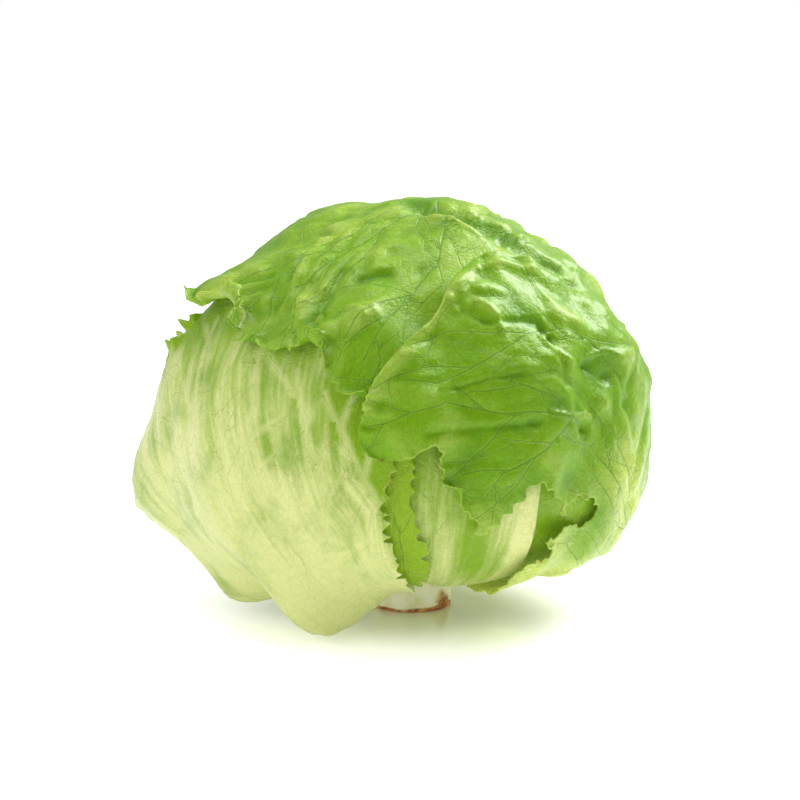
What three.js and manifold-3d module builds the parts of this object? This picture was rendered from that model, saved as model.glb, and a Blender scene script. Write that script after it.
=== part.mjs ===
// A head of crisphead lettuce, standing upright on its cut stem.
// Millimetres, +Z up. The origin is the centre of the cut face of the stem, and the front is -Y.
//
// The head is a stack of leaf blades round a heart. Every leaf lies on a chart of its own: X runs
// across its midrib meridian and Y along it, in degrees seen from the middle of the head. Y is -90
// at the stem, 0 at the widest part and 90 at the top. A blade follows whatever lies under it.
import * as THREE from "three";
import { mergeVertices } from "three/addons/utils/BufferGeometryUtils.js";
import Module from "manifold-3d";

const wasm = await Module();
wasm.setup();

const DEGREE = Math.PI / 180;

// Size of the whole head, measured from its middle, which stands on the axis of the stem
const MIDDLE_Z = 68;
const REACH = { right: 82, left: 91, back: 82, front: 84, up: 73, down: 58 };
const ROUNDNESS = { up: 2.0, down: 3.0 };

// Room kept for the leaves between the heart and the outside
const ROOM_SIDE = 7;
const ROOM_TOP = 3;
const ROOM_STEM = 28;
const ROOM_TOP_STARTS = [110, 160];
const ROOM_STEM_ENDS = [12, 62];

// Blades: thickness at the margin, air between two blades, and what the fleshy bases add
const BLADE = 0.9;
const BLADE_GAP = 1.3;
const BASE_THICKENING = 1.6;
const BASE_ENDS = { thick: 14, thin: 50 };
const RIB_WIDTH = 8;
const RIB_TAPER = 1.5;

// A blade lifts what lies over it fully as far as NEAR degrees past its margin, and fades by FAR
const COVER_NEAR = 6;
const COVER_FAR = 22;

// Spacing in degrees of the points over a blade and along its margin
const LATTICE = 7.2;
const LATTICE_JITTER = 0.16;
const LATTICE_INSET = 0.62;
const MARGIN_STEP = 3.1;
const SMOOTH_MARGIN_STEP = 6.2;
const ROOT_STEP = 14;

// Teeth, ruffles and puckers start above the base of a leaf, between these heights on its chart
const TEETH_START = [-62, -38];
const RUFFLE_START = [-60, -35];
const PUCKER_START = [-60, -25];
const SHORTEST_TOOTH = 0.45;
const RUFFLE_REACH = 6;
const RUFFLE_RATE = 1.9;
const RUFFLE_DRIFT = { rate: 0.6, size: 1.3 };
const PUCKERS = { count: 26, width: [6, 11], height: [0.7, 1.6] };

// Heart: a ball of tightly folded leaves whose edges stand up from it one over the other
const HEART_GAP = 0.9;
const HEART_STEP = 0.7;
const HEART_LEAVES = 7;
const HEART_LEAF_EDGE = [50, 58];
const HEART_DEEPEST_LAYER = 3;
const GOLDEN_TURN = 137.5;
const HEART_SIDES = [34, 22];

// Stem: radius at each height, with a bevelled rim at the cut
const STEM_PROFILE = [
  [0, 0],
  [13.2, 0],
  [14.2, 1.2],
  [14.5, 4],
  [14, 10],
  [13.5, 20],
  [11, 35],
  [6, 48],
  [0, 52],
];
const STEM_SIDES = 28;
const ROOT_CLEARANCE = 0.7;
const SOCKET_CLEARANCE = 0.4;

// Broad swellings and hollows of the whole head: azimuth, elevation, width in degrees, height
const SWELLINGS = [
  { azimuth: 300, elevation: 84, width: 34, height: 2.4 },
  { azimuth: 188, elevation: 27, width: 27, height: -4.8 },
  { azimuth: 218, elevation: 62, width: 18, height: -3.2 },
  { azimuth: 305, elevation: 38, width: 9, height: 1.6 },
  { azimuth: 308, elevation: 26, width: 4, height: -2.2 },
  { azimuth: 317, elevation: 2, width: 7, height: -1.6 },
  { azimuth: 275, elevation: 34, width: 6, height: -2.0 },
  { azimuth: 60, elevation: 30, width: 16, height: 1.5 },
  { azimuth: 118, elevation: 12, width: 14, height: -1.8 },
  { azimuth: 150, elevation: 55, width: 12, height: 1.6 },
  { azimuth: 20, elevation: 8, width: 12, height: -1.5 },
];

// Folds that every leaf follows: a path of azimuth and elevation, its width and its height
const FOLDS = [
  { path: [[276, 80], [308, 71], [317, 60], [328, 50], [335, 40]], width: 5.5, height: -3.2 },
  { path: [[263, 76], [300, 62], [317, 49], [325, 39], [337, 30]], width: 5, height: 1.4 },
];

const LEAVES = [
  {
    name: "leaf_inner_right",
    color: 0xb9cf6a,
    azimuth: 15,
    root: [-55, 55],
    margin: [[-26, -60], [-40, -32], [-44, 0], [-36, 28], [-14, 40], [12, 40], [34, 28], [44, 0],
      [40, -32], [26, -60]],
    midrib: [[0, -74], [0, -30], [0, 20]],
    rib: 1.2,
    teeth: 0,
    ruffle: 0,
  },
  {
    name: "leaf_inner_back",
    color: 0xa9c658,
    azimuth: 98,
    root: [-55, 55],
    margin: [[-24, -60], [-38, -34], [-42, -4], [-36, 26], [-16, 44], [10, 46], [32, 30], [42, 0],
      [38, -34], [24, -60]],
    midrib: [[0, -74], [0, -30], [0, 24]],
    rib: 1.3,
    teeth: 1.2,
    ruffle: 1.0,
  },
  {
    name: "leaf_inner_left",
    color: 0x7fae2c,
    azimuth: 186,
    root: [-55, 55],
    margin: [[-24, -60], [-38, -34], [-42, -6], [-36, 22], [-18, 33], [4, 35], [22, 30], [36, 18],
      [42, -6], [36, -34], [24, -60]],
    midrib: [[0, -74], [0, -30], [0, 20]],
    rib: 1.2,
    teeth: 2.0,
    ruffle: 1.8,
  },
  {
    name: "leaf_under_right",
    color: 0x8cbc38,
    azimuth: 322,
    root: [-50, 55],
    margin: [[-18, -66], [-27, -46], [-31, -22], [-27, 4], [-10, 20], [12, 20], [28, 6], [33, -16],
      [30, -42], [20, -64]],
    midrib: [[0, -74], [0, -40], [0, 5]],
    rib: 1.0,
    teeth: 1.4,
    ruffle: 0.8,
  },
  {
    name: "leaf_front",
    color: 0xaac05f,
    azimuth: 285,
    root: [-55, 52],
    margin: [[-15, -66], [-28, -48], [-36, -25], [-38, 2], [-28, 26], [-8, 36], [8, 32], [17, 18], [17, 4],
      [16, -7], [15, -14], [14.5, -22], [13.5, -31], [12, -39], [13, -50], [12, -64]],
    midrib: [[-2, -74], [-8, -45], [-10, -10], [-8, 15]],
    rib: 1.3,
    teeth: 0,
    ruffle: 0.8,
    swells: [
      { x: 10, y: -18, across: 12, along: 22, height: 1.5 },
      { x: 2, y: -48, across: 16, along: 13, height: 5 },
    ],
  },
  {
    name: "leaf_strip",
    color: 0x8baf27,
    azimuth: 250,
    root: [-40, 48],
    margin: [[-16, -64], [-26, -40], [-30, -12], [-24, 14], [-6, 27], [12, 22], [20, 10], [21, 0],
      [20.5, -8], [20.5, -16], [22, -24], [21, -33], [17, -44], [13, -60]],
    midrib: [[1, -74], [6, -45], [8, -10]],
    rib: 1.0,
    teeth: 1.6,
    ruffle: 1.2,
  },
  {
    name: "leaf_back",
    color: 0x8cbb3c,
    azimuth: 140,
    root: [-55, 55],
    margin: [[-20, -64], [-36, -38], [-45, -8], [-47, 22], [-38, 48], [-16, 62], [8, 64], [30, 54], [43, 34],
      [47, 8], [43, -22], [34, -42], [20, -64]],
    midrib: [[0, -74], [4, -40], [3, 0], [-2, 35]],
    rib: 2.0,
    teeth: 2.2,
    ruffle: 2.6,
    swells: [{ x: 2, y: -52, across: 10, along: 16, height: 3 }],
  },
  {
    name: "leaf_left",
    color: 0xc2d46b,
    azimuth: 215,
    root: [-50, 58],
    margin: [[-8, -70], [-5, -61], [-12, -54], [-24, -43], [-31, -30], [-36, -18], [-41, -6], [-43, 4], [-41, 13],
      [-34, 19], [-26, 26], [-18, 37], [-6, 45], [8, 48], [24, 46], [38, 38], [50, 24], [54, 10], [53, -1],
      [50, -10], [49.5, -14], [48.5, -20], [46.5, -30], [45, -38], [42, -50], [34, -63]],
    midrib: [[4, -75], [12, -62], [19, -48], [15, -30], [5, -10], [-6, 12], [-13, 28]],
    rib: 2.4,
    teeth: 2.2,
    ruffle: 1.6,
    swells: [
      { x: 15, y: -52, across: 12, along: 16, height: 21.8 },
      { x: -13, y: -49, across: 12, along: 12, height: 22 },
      { x: -38, y: -23, across: 13, along: 14, height: 11 },
    ],
  },
  {
    name: "leaf_top",
    color: 0x74a31a,
    azimuth: 45,
    root: [-55, 55],
    margin: [[-18, -66], [-30, -48], [-41, -30], [-50, -5], [-55, 20], [-58, 45], [-60, 70], [-62, 95], [-60, 120],
      [-54, 140], [-45, 157], [-37, 168], [-31, 168], [-27, 164], [-20, 157], [-12, 158], [-3, 159], [5, 155],
      [14, 151], [23, 153], [30, 151], [38, 142], [46, 128], [53, 110], [56, 90], [55, 66], [53, 40], [49, 12],
      [43, -14], [34, -38], [20, -64]],
    midrib: [[0, -74], [3, -30], [4, 10], [2, 50], [-2, 85], [0, 120], [4, 138]],
    rib: 2.0,
    teeth: 2.4,
    ruffle: 3.0,
    swells: [
      { x: 30, y: 146, across: 9, along: 9, height: 3.5 },
      { x: 12, y: 146, across: 10, along: 8, height: 2.0 },
      { x: 0, y: -54, across: 10, along: 16, height: 3 },
    ],
  },
  {
    name: "leaf_right",
    color: 0x80ad2a,
    azimuth: 325,
    root: [-12, 60],
    margin: [[-5, -73], [-12, -63], [-20, -53], [-25, -43], [-24, -35], [-21, -28], [-16, -22.5], [-8, -21],
      [-5, -18], [-9, -15], [-20, -14], [-25, -8], [-29, -13], [-35, -21], [-38, -25], [-41, -18], [-46, -14], [-49, -8], [-50, 4],
      [-56, 0], [-63, -1], [-66, 7], [-65, 18], [-61, 31], [-52, 39], [-40, 44], [-30, 51], [-17, 54], [-7, 49],
      [1, 42], [9, 34], [20, 26], [32, 20], [45, 14], [54, 4], [54, -10], [46, -28], [35, -46], [20, -66]],
    midrib: [[4, -74], [12, -50], [18, -30], [20, -8], [15, 14], [6, 30]],
    rib: 1.6,
    teeth: 2.4,
    ruffle: 2.0,
    swells: [
      { x: 6, y: -44, across: 22, along: 15, height: 4 },
      { x: -8, y: 22, across: 22, along: 20, height: 1.2 },
    ],
  },
];

// Small helpers

function smoothstep(low, high, value) {
  return THREE.MathUtils.smoothstep(value, low, high);
}

function direction(azimuth, elevation) {
  const a = azimuth * DEGREE;
  const e = elevation * DEGREE;
  return new THREE.Vector3(Math.cos(e) * Math.cos(a), Math.cos(e) * Math.sin(a), Math.sin(e));
}

function angleBetween(a, b) {
  return Math.acos(THREE.MathUtils.clamp(a.dot(b), -1, 1)) / DEGREE;
}

// A small repeatable random source
function randomSource(seed) {
  let state = seed >>> 0;
  return () => {
    state = (Math.imul(state, 1664525) + 1013904223) >>> 0;
    return state / 4294967296;
  };
}

function stemRadius(z) {
  for (let i = 2; i < STEM_PROFILE.length; i++) {
    const [r0, z0] = STEM_PROFILE[i - 1];
    const [r1, z1] = STEM_PROFILE[i];
    if (z <= z1) return THREE.MathUtils.lerp(r0, r1, Math.max(0, (z - z0) / (z1 - z0)));
  }
  return 0;
}

// Form of the head under its leaves

// Distance from the middle of the head to its overall outline
function headReach(d) {
  const flat = Math.hypot(d.x, d.y) || 1e-9;
  const sideways = d.x > 0 ? REACH.right : REACH.left;
  const lengthways = d.y > 0 ? REACH.back : REACH.front;
  const plan = 1 / Math.hypot(d.x / flat / sideways, d.y / flat / lengthways);
  const power = d.z > 0 ? ROUNDNESS.up : ROUNDNESS.down;
  const height = d.z > 0 ? REACH.up : REACH.down;
  return ((flat / plan) ** power + (Math.abs(d.z) / height) ** power) ** (-1 / power);
}

const STEMWARD = new THREE.Vector3(0, 0, -1);
const foldPaths = FOLDS.map((fold) => fold.path.map(([a, e]) => direction(a, e)));

function angleFromStem(d) {
  return angleBetween(d, STEMWARD);
}

function angleToPath(d, path) {
  const point = new THREE.Vector3();
  const line = new THREE.Line3();
  let nearest = 180;
  for (let i = 1; i < path.length; i++) {
    line.set(path[i - 1], path[i]).closestPointToPoint(d, true, point);
    nearest = Math.min(nearest, angleBetween(d, point.normalize()));
  }
  return nearest;
}

// Surface on which the innermost leaves lie
function bedRadius(d) {
  const fromStem = angleFromStem(d);
  const above = THREE.MathUtils.lerp(ROOM_SIDE, ROOM_TOP, smoothstep(...ROOM_TOP_STARTS, fromStem));
  const room = THREE.MathUtils.lerp(ROOM_STEM, above, smoothstep(...ROOM_STEM_ENDS, fromStem));
  let radius = headReach(d) - room;
  for (const s of SWELLINGS) {
    const away = angleBetween(d, direction(s.azimuth, s.elevation)) / s.width;
    radius += s.height * Math.exp(-away * away);
  }
  FOLDS.forEach((fold, i) => {
    const away = angleToPath(d, foldPaths[i]) / fold.width;
    radius += fold.height * Math.exp(-away * away);
  });
  return radius;
}

// Leaves

class Leaf {
  constructor(spec, inner, seed) {
    Object.assign(this, { swells: [] }, spec);
    this.inner = inner;
    this.outer = [];
    this.random = randomSource(seed);
    this.east = direction(this.azimuth, 0);
    this.across = direction(this.azimuth + 90, 0);
    this.midribLine = this.midrib.map(([x, y]) => new THREE.Vector2(x, y));
    const [left, right] = this.root;
    const ends = [this.rootPoint(left), this.rootPoint(right)];
    const knots = [ends[0], ...this.margin.map(([x, y]) => new THREE.Vector2(x, y)), ends[1]];
    this.curve = new THREE.SplineCurve(knots);
    this.outline = this.sampleMargin(SMOOTH_MARGIN_STEP, 0);
    this.rootArc = this.sampleRoot();
    this.outline.push(...this.rootArc);
    this.puckers = this.scatterPuckers();
  }

  // Chart to direction, and back
  toDirection(x, y) {
    const across = x * DEGREE;
    const along = (y + 90) * DEGREE;
    const d = this.across.clone().multiplyScalar(Math.sin(across));
    d.addScaledVector(this.east, Math.cos(across) * Math.sin(along));
    d.z -= Math.cos(across) * Math.cos(along);
    return d;
  }

  toChart(d) {
    const x = Math.asin(THREE.MathUtils.clamp(d.dot(this.across), -1, 1)) / DEGREE;
    let y = Math.atan2(d.dot(this.east), -d.z) / DEGREE - 90;
    if (y < -135) y += 360;
    return new THREE.Vector2(x, y);
  }

  // Surface that the blade lies on: the bed, raised by each leaf underneath
  restRadius(d) {
    let radius = bedRadius(d);
    for (const leaf of this.inner) {
      const cover = leaf.cover(d);
      if (cover > 0) radius += cover * (leaf.thickness(d) + leaf.swell(d) + BLADE_GAP);
    }
    return radius;
  }

  // Point where the blade leaves the stem, at an azimuth measured from the midrib
  rootPoint(turn) {
    const a = (this.azimuth + turn) * DEGREE;
    let polar = 16 * DEGREE;
    for (let i = 0; i < 6; i++) {
      const flat = Math.sin(polar);
      const d = new THREE.Vector3(flat * Math.cos(a), flat * Math.sin(a), -Math.cos(polar));
      const radius = this.restRadius(d) + this.swell(d);
      const wanted = stemRadius(MIDDLE_Z - radius * Math.cos(polar)) + ROOT_CLEARANCE;
      polar = Math.asin(THREE.MathUtils.clamp(wanted / radius, 0.05, 0.6));
    }
    const flat = Math.sin(polar);
    return this.toChart(new THREE.Vector3(flat * Math.cos(a), flat * Math.sin(a), -Math.cos(polar)));
  }

  sampleRoot() {
    const [left, right] = this.root;
    const steps = Math.round((right - left) / ROOT_STEP);
    const points = [];
    for (let i = 1; i < steps; i++) points.push(this.rootPoint(right + ((left - right) * i) / steps));
    return points;
  }

  // Free margin at an even step, with alternate points drawn in between teeth
  sampleMargin(step, depth) {
    const points = this.curve.getSpacedPoints(Math.round(this.curve.getLength() / step));
    if (!depth) return points;
    return points.map((p, i) => {
      const start = smoothstep(...TEETH_START, p.y);
      if (i % 2 === 0 || start === 0) return p;
      const before = points[i - 1];
      const after = points[i + 1] || p;
      const inward = new THREE.Vector2(after.y - before.y, before.x - after.x).normalize();
      const length = THREE.MathUtils.lerp(SHORTEST_TOOTH, 1, this.random());
      return p.clone().addScaledVector(inward, start * depth * length);
    });
  }

  // Distance from the outline, positive inside, with the place along it
  place(point) {
    const squeeze = Math.cos(point.x * DEGREE);
    let nearest = Infinity;
    let along = 0;
    let inside = false;
    const n = this.outline.length;
    for (let i = 0; i < n; i++) {
      const a = this.outline[i];
      const b = this.outline[(i + 1) % n];
      if (a.y > point.y !== b.y > point.y) {
        if (point.x < a.x + ((b.x - a.x) * (point.y - a.y)) / (b.y - a.y)) inside = !inside;
      }
      const ax = a.x - point.x;
      const ay = (a.y - point.y) * squeeze;
      const ux = b.x - a.x;
      const uy = (b.y - a.y) * squeeze;
      const t = THREE.MathUtils.clamp(-(ax * ux + ay * uy) / (ux * ux + uy * uy || 1), 0, 1);
      const away = Math.hypot(ax + t * ux, ay + t * uy);
      if (away < nearest) {
        nearest = away;
        along = i + t;
      }
    }
    return { distance: inside ? nearest : -nearest, along };
  }

  // How far this leaf lifts what lies over it: 1 over the blade, fading out beyond its margin
  cover(d) {
    const point = this.toChart(d);
    if (Math.abs(point.x) > 84) return 0;
    return 1 - smoothstep(COVER_NEAR, COVER_FAR, -this.place(point).distance);
  }

  thickness(d) {
    const point = this.toChart(d);
    const squeeze = Math.cos(point.x * DEGREE);
    const line = this.midribLine;
    let rib = 0;
    for (let i = 1; i < line.length; i++) {
      const ux = line[i].x - line[i - 1].x;
      const uy = (line[i].y - line[i - 1].y) * squeeze;
      const px = point.x - line[i - 1].x;
      const py = (point.y - line[i - 1].y) * squeeze;
      const t = THREE.MathUtils.clamp((px * ux + py * uy) / (ux * ux + uy * uy), 0, 1);
      const away = Math.hypot(px - t * ux, py - t * uy) / RIB_WIDTH;
      const taper = 1 - ((i - 1 + t) / (line.length - 1)) ** RIB_TAPER;
      rib = Math.max(rib, taper * Math.exp(-away * away));
    }
    const base = 1 - smoothstep(BASE_ENDS.thick, BASE_ENDS.thin, angleFromStem(d));
    return BLADE + this.rib * rib + BASE_THICKENING * base;
  }

  // Broad swellings of this leaf alone
  swell(d) {
    const point = this.toChart(d);
    const squeeze = Math.cos(point.x * DEGREE);
    let height = 0;
    for (const s of this.swells) {
      const a = (point.x - s.x) / s.across;
      const b = ((point.y - s.y) * squeeze) / s.along;
      height += s.height * Math.exp(-a * a - b * b);
    }
    return height;
  }

  scatterPuckers() {
    const puckers = [];
    const xs = this.outline.map((p) => p.x);
    const ys = this.outline.map((p) => p.y);
    const between = (low, high) => THREE.MathUtils.lerp(low, high, this.random());
    for (let i = 0; i < PUCKERS.count; i++) {
      const x = between(Math.min(...xs), Math.max(...xs));
      const y = between(PUCKER_START[0], Math.max(...ys));
      puckers.push({ x, y, width: between(...PUCKERS.width), height: between(...PUCKERS.height) });
    }
    return puckers;
  }

  // Puckers over the blade and ruffles along its margin, kept flat where another leaf lies over it
  relief(d, point) {
    let open = 1;
    for (const leaf of this.outer) open = Math.min(open, 1 - leaf.cover(d));
    if (open <= 0) return 0;
    const squeeze = Math.cos(point.x * DEGREE);
    let pucker = 0;
    for (const p of this.puckers) {
      const a = (point.x - p.x) / p.width;
      const b = ((point.y - p.y) * squeeze) / p.width;
      pucker += p.height * Math.exp(-a * a - b * b);
    }
    const { distance, along } = this.place(point);
    const drift = RUFFLE_DRIFT.size * Math.sin(along * RUFFLE_DRIFT.rate);
    const wave = 0.5 + 0.5 * Math.sin(along * RUFFLE_RATE + drift);
    const edge = Math.exp(-Math.max(0, distance) / RUFFLE_REACH) * smoothstep(...RUFFLE_START, point.y);
    return open * (pucker * smoothstep(...PUCKER_START, point.y) + this.ruffle * wave * edge);
  }

  // Outline with its teeth, then a lattice of points inside it
  points() {
    const toothed = this.sampleMargin(this.teeth ? MARGIN_STEP : SMOOTH_MARGIN_STEP, this.teeth);
    const border = [...toothed, ...this.rootArc];
    const inside = [];
    const jitter = LATTICE_JITTER * LATTICE;
    for (let x = -80; x <= 80; x += LATTICE) {
      const step = LATTICE / Math.cos(x * DEGREE);
      for (let y = -90; y <= 185; y += step) {
        const shift = Math.round(x / LATTICE) % 2 ? step / 2 : 0;
        const px = x + jitter * (this.random() - 0.5);
        const py = y + shift + jitter * (this.random() - 0.5);
        const p = new THREE.Vector2(px, py);
        if (this.place(p).distance > LATTICE_INSET * LATTICE) inside.push(p);
      }
    }
    return { border, inside };
  }

  geometry() {
    const { border, inside } = this.points();
    const points = [...border, ...inside];
    const faces = triangulate(points).filter(([a, b, c]) => {
      const centre = points[a].clone().add(points[b]).add(points[c]).divideScalar(3);
      return insidePolygon(centre, border);
    });
    const under = [];
    const over = [];
    for (const p of points) {
      const d = this.toDirection(p.x, p.y);
      const radius = this.restRadius(d) + this.swell(d) + this.relief(d, p);
      under.push(d.clone().multiplyScalar(radius));
      over.push(d.clone().multiplyScalar(radius + this.thickness(d)));
    }
    return closedBlade(under, over, faces);
  }
}

function insidePolygon(p, polygon) {
  let inside = false;
  polygon.forEach((a, i) => {
    const b = polygon[(i + 1) % polygon.length];
    if (a.y > p.y === b.y > p.y) return;
    if (p.x < a.x + ((b.x - a.x) * (p.y - a.y)) / (b.y - a.y)) inside = !inside;
  });
  return inside;
}

// Delaunay triangulation by adding one point at a time
function triangulate(points) {
  const far = 4000;
  const all = [...points, { x: -far, y: -far }, { x: far, y: -far }, { x: 0, y: far }];
  const n = points.length;
  let triangles = [circled(all, n, n + 1, n + 2)];
  for (let i = 0; i < n; i++) {
    const p = points[i];
    const kept = [];
    const rim = new Map();
    for (const t of triangles) {
      if ((p.x - t.cx) ** 2 + (p.y - t.cy) ** 2 >= t.r2) {
        kept.push(t);
        continue;
      }
      for (let k = 0; k < 3; k++) {
        const a = t.v[k];
        const b = t.v[(k + 1) % 3];
        if (!rim.delete(`${b},${a}`)) rim.set(`${a},${b}`, [a, b]);
      }
    }
    for (const [a, b] of rim.values()) kept.push(circled(all, a, b, i));
    triangles = kept;
  }
  return triangles.map((t) => t.v).filter((v) => Math.max(...v) < n);
}

// A counter-clockwise triangle with its circumscribed circle
function circled(points, i, j, k) {
  const a = points[i];
  const b = points[j];
  const c = points[k];
  const bx = b.x - a.x;
  const by = b.y - a.y;
  const cx = c.x - a.x;
  const cy = c.y - a.y;
  const twice = 2 * (bx * cy - by * cx);
  const ux = (cy * (bx * bx + by * by) - by * (cx * cx + cy * cy)) / twice;
  const uy = (bx * (cx * cx + cy * cy) - cx * (bx * bx + by * by)) / twice;
  return { v: [i, j, k], cx: a.x + ux, cy: a.y + uy, r2: ux * ux + uy * uy };
}

// A closed blade: the same triangles on both faces, joined along every open edge
function closedBlade(under, over, faces) {
  const count = over.length;
  const position = [];
  for (const p of [...over, ...under]) position.push(p.x, p.y, p.z + MIDDLE_Z);
  const index = [];
  const edges = new Map();
  for (const [a, b, c] of faces) {
    index.push(a, b, c, a + count, c + count, b + count);
    for (const [p, q] of [[a, b], [b, c], [c, a]]) {
      if (!edges.delete(`${q},${p}`)) edges.set(`${p},${q}`, [p, q]);
    }
  }
  for (const [p, q] of edges.values()) {
    index.push(q, p, p + count, q, p + count, q + count);
  }
  const geometry = new THREE.BufferGeometry();
  geometry.setAttribute("position", new THREE.Float32BufferAttribute(position, 3));
  geometry.setIndex(index);
  return geometry;
}

// Stem

function stemGeometry(clearance) {
  const profile = STEM_PROFILE.map(([r, z], i) => {
    const last = i === STEM_PROFILE.length - 1;
    return new THREE.Vector2(r ? r + clearance : 0, last ? z + clearance : z);
  });
  const lathe = new THREE.LatheGeometry(profile, STEM_SIDES);
  lathe.rotateX(90 * DEGREE);
  return lathe;
}

// Heart

function heartRadius(d) {
  let layers = 0;
  for (let i = 0; i < HEART_LEAVES; i++) {
    const centre = direction(i * GOLDEN_TURN, -10 + 7 * i);
    layers += 1 - smoothstep(...HEART_LEAF_EDGE, angleBetween(d, centre));
  }
  return bedRadius(d) - HEART_GAP - HEART_STEP * Math.max(0, HEART_DEEPEST_LAYER - layers);
}

function heartGeometry() {
  const ball = new THREE.SphereGeometry(1, ...HEART_SIDES);
  ball.rotateX(90 * DEGREE);
  const position = ball.getAttribute("position");
  const d = new THREE.Vector3();
  for (let i = 0; i < position.count; i++) {
    d.fromBufferAttribute(position, i).normalize();
    d.multiplyScalar(heartRadius(d));
    position.setXYZ(i, d.x, d.y, d.z + MIDDLE_Z);
  }
  return fromSolid(toSolid(ball).subtract(toSolid(stemGeometry(SOCKET_CLEARANCE))));
}

function toSolid(geometry) {
  const bare = geometry.clone();
  bare.deleteAttribute("normal");
  bare.deleteAttribute("uv");
  const merged = mergeVertices(bare, 1e-4);
  const vertProperties = new Float32Array(merged.getAttribute("position").array);
  const triVerts = new Uint32Array(merged.index.array);
  return new wasm.Manifold(new wasm.Mesh({ numProp: 3, vertProperties, triVerts }));
}

function fromSolid(solid) {
  const mesh = solid.getMesh();
  const geometry = new THREE.BufferGeometry();
  geometry.setAttribute("position", new THREE.BufferAttribute(mesh.vertProperties, 3));
  geometry.setIndex(new THREE.BufferAttribute(mesh.triVerts, 1));
  return geometry;
}

// The whole head

const head = new THREE.Group();
head.name = "lettuce_head";

function addPiece(name, geometry, color, roughness) {
  geometry.computeVertexNormals();
  const material = new THREE.MeshStandardMaterial({ color, roughness, metalness: 0 });
  const mesh = new THREE.Mesh(geometry, material);
  mesh.name = name;
  head.add(mesh);
}

addPiece("stem", stemGeometry(0), 0xd9d3a4, 0.6);
addPiece("heart", heartGeometry(), 0xdfe59a, 0.5);

const leaves = [];
LEAVES.forEach((spec, i) => leaves.push(new Leaf(spec, [...leaves], 11 + 7 * i)));
leaves.forEach((leaf, i) => {
  leaf.outer = leaves.slice(i + 1);
});
for (const leaf of leaves) addPiece(leaf.name, leaf.geometry(), leaf.color, 0.4);

export default head;
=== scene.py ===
"""A head of crisphead lettuce standing on its cut stem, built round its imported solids.

Lengths are millimetres and angles degrees until a mesh is written, which is in metres.
Every leaf lies on a chart of its own: X runs across its midrib meridian and Y along it, in
degrees seen from the middle of the head. Y is -90 at the stem, 0 at the widest part and 90
at the top. A blade follows whatever lies under it.
"""

import math

import bmesh
import bpy
import numpy as np
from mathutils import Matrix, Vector


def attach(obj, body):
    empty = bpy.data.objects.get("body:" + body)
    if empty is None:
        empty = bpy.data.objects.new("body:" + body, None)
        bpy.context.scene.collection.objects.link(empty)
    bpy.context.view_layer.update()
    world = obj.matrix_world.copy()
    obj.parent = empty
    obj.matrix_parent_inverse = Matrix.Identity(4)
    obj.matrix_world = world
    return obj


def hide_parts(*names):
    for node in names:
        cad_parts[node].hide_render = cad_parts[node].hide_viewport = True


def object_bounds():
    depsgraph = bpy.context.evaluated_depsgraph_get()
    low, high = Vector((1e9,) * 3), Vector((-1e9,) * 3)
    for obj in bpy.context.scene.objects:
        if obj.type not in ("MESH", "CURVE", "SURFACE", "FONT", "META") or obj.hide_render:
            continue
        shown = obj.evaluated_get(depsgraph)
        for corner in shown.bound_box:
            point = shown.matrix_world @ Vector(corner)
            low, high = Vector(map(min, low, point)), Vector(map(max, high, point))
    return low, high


bl_info = {
    "name": "Crisphead Lettuce",
    "version": (1, 0, 0),
    "blender": (4, 5, 0),
    "location": "View3D > Sidebar > Lettuce",
    "description": "Dresses a packed head of lettuce with finely veined leaves",
    "category": "Object",
}

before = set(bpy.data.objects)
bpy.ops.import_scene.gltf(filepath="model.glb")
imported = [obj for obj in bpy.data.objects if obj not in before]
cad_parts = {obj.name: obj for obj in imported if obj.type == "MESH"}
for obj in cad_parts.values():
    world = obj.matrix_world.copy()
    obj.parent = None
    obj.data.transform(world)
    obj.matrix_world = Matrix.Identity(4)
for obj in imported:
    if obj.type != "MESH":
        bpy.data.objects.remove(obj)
CAD_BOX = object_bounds()
BODY = "root"
MM = 0.001

# Size of the whole head, measured from its middle, which stands on the axis of the stem
MIDDLE_Z = 68
MIDDLE = np.array((0, 0, MIDDLE_Z))
REACH = {"right": 82, "left": 91, "back": 82, "front": 84, "up": 73, "down": 58}
ROUNDNESS = {"up": 2.0, "down": 3.0}
ROOM = {"side": 7, "top": 3, "stem": 28}
ROOM_TOP_STARTS = (110, 160)
ROOM_STEM_ENDS = (12, 62)

# Blades: thickness at the margin, air between two blades, and what the fleshy bases add
BLADE = 0.9
BLADE_GAP = 1.3
BASE_THICKENING = 1.6
BASE_ENDS = (14, 50)
RIB_WIDTH = 8
RIB_TAPER = 1.5
THICKEST = 6.0
COVER_NEAR = 3
COVER_FAR = 13
BARE_FROM = (0.3, 4)
ROOT_CLEARANCE = 0.7

# Where a blade leaves the stem: a first guess in degrees from the axis, and limits of its sine
ROOT_GUESS = 16
ROOT_LIMITS = (0.05, 0.6)
ROOT_ROUNDS = 6

# Teeth lean either way by a power of the share along them; lobes are round by another, and their
# depth is a share of their width
TOOTH_LEAN = (0.6, 1.7)
LOBE_ROUNDNESS = 0.5
LOBE_DEPTH = 0.4

# Starts of teeth, ruffles and puckers above the base of a leaf, as heights on its chart
TEETH_START = (-62, -38)
RUFFLE_START = (-60, -35)
BLISTER_START = (-60, -25)

# Outline: its step, the band along it where the grid is finer, and the steps of the maps round it
OUTLINE_STEP = 0.4
EVERY_FEW = 12
CURVE_SAMPLES = 40
ROOT_STEP = 4
FINE_BAND = 2.2
MAP_STEP = 1.5
TILE = 8
TILE_REACH = 10
NO_SEGMENT = 1e-12

# The part of a chart in use: how far across the midrib meridian, and how far along it
CHART_ACROSS = 84
CHART_ALONG = (-135, 225)

STEM_PROFILE = [
    (0, 0), (13.2, 0), (14.2, 1.2), (14.5, 4), (14, 10), (13.5, 20), (11, 35), (6, 48), (0, 52),
]

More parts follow.
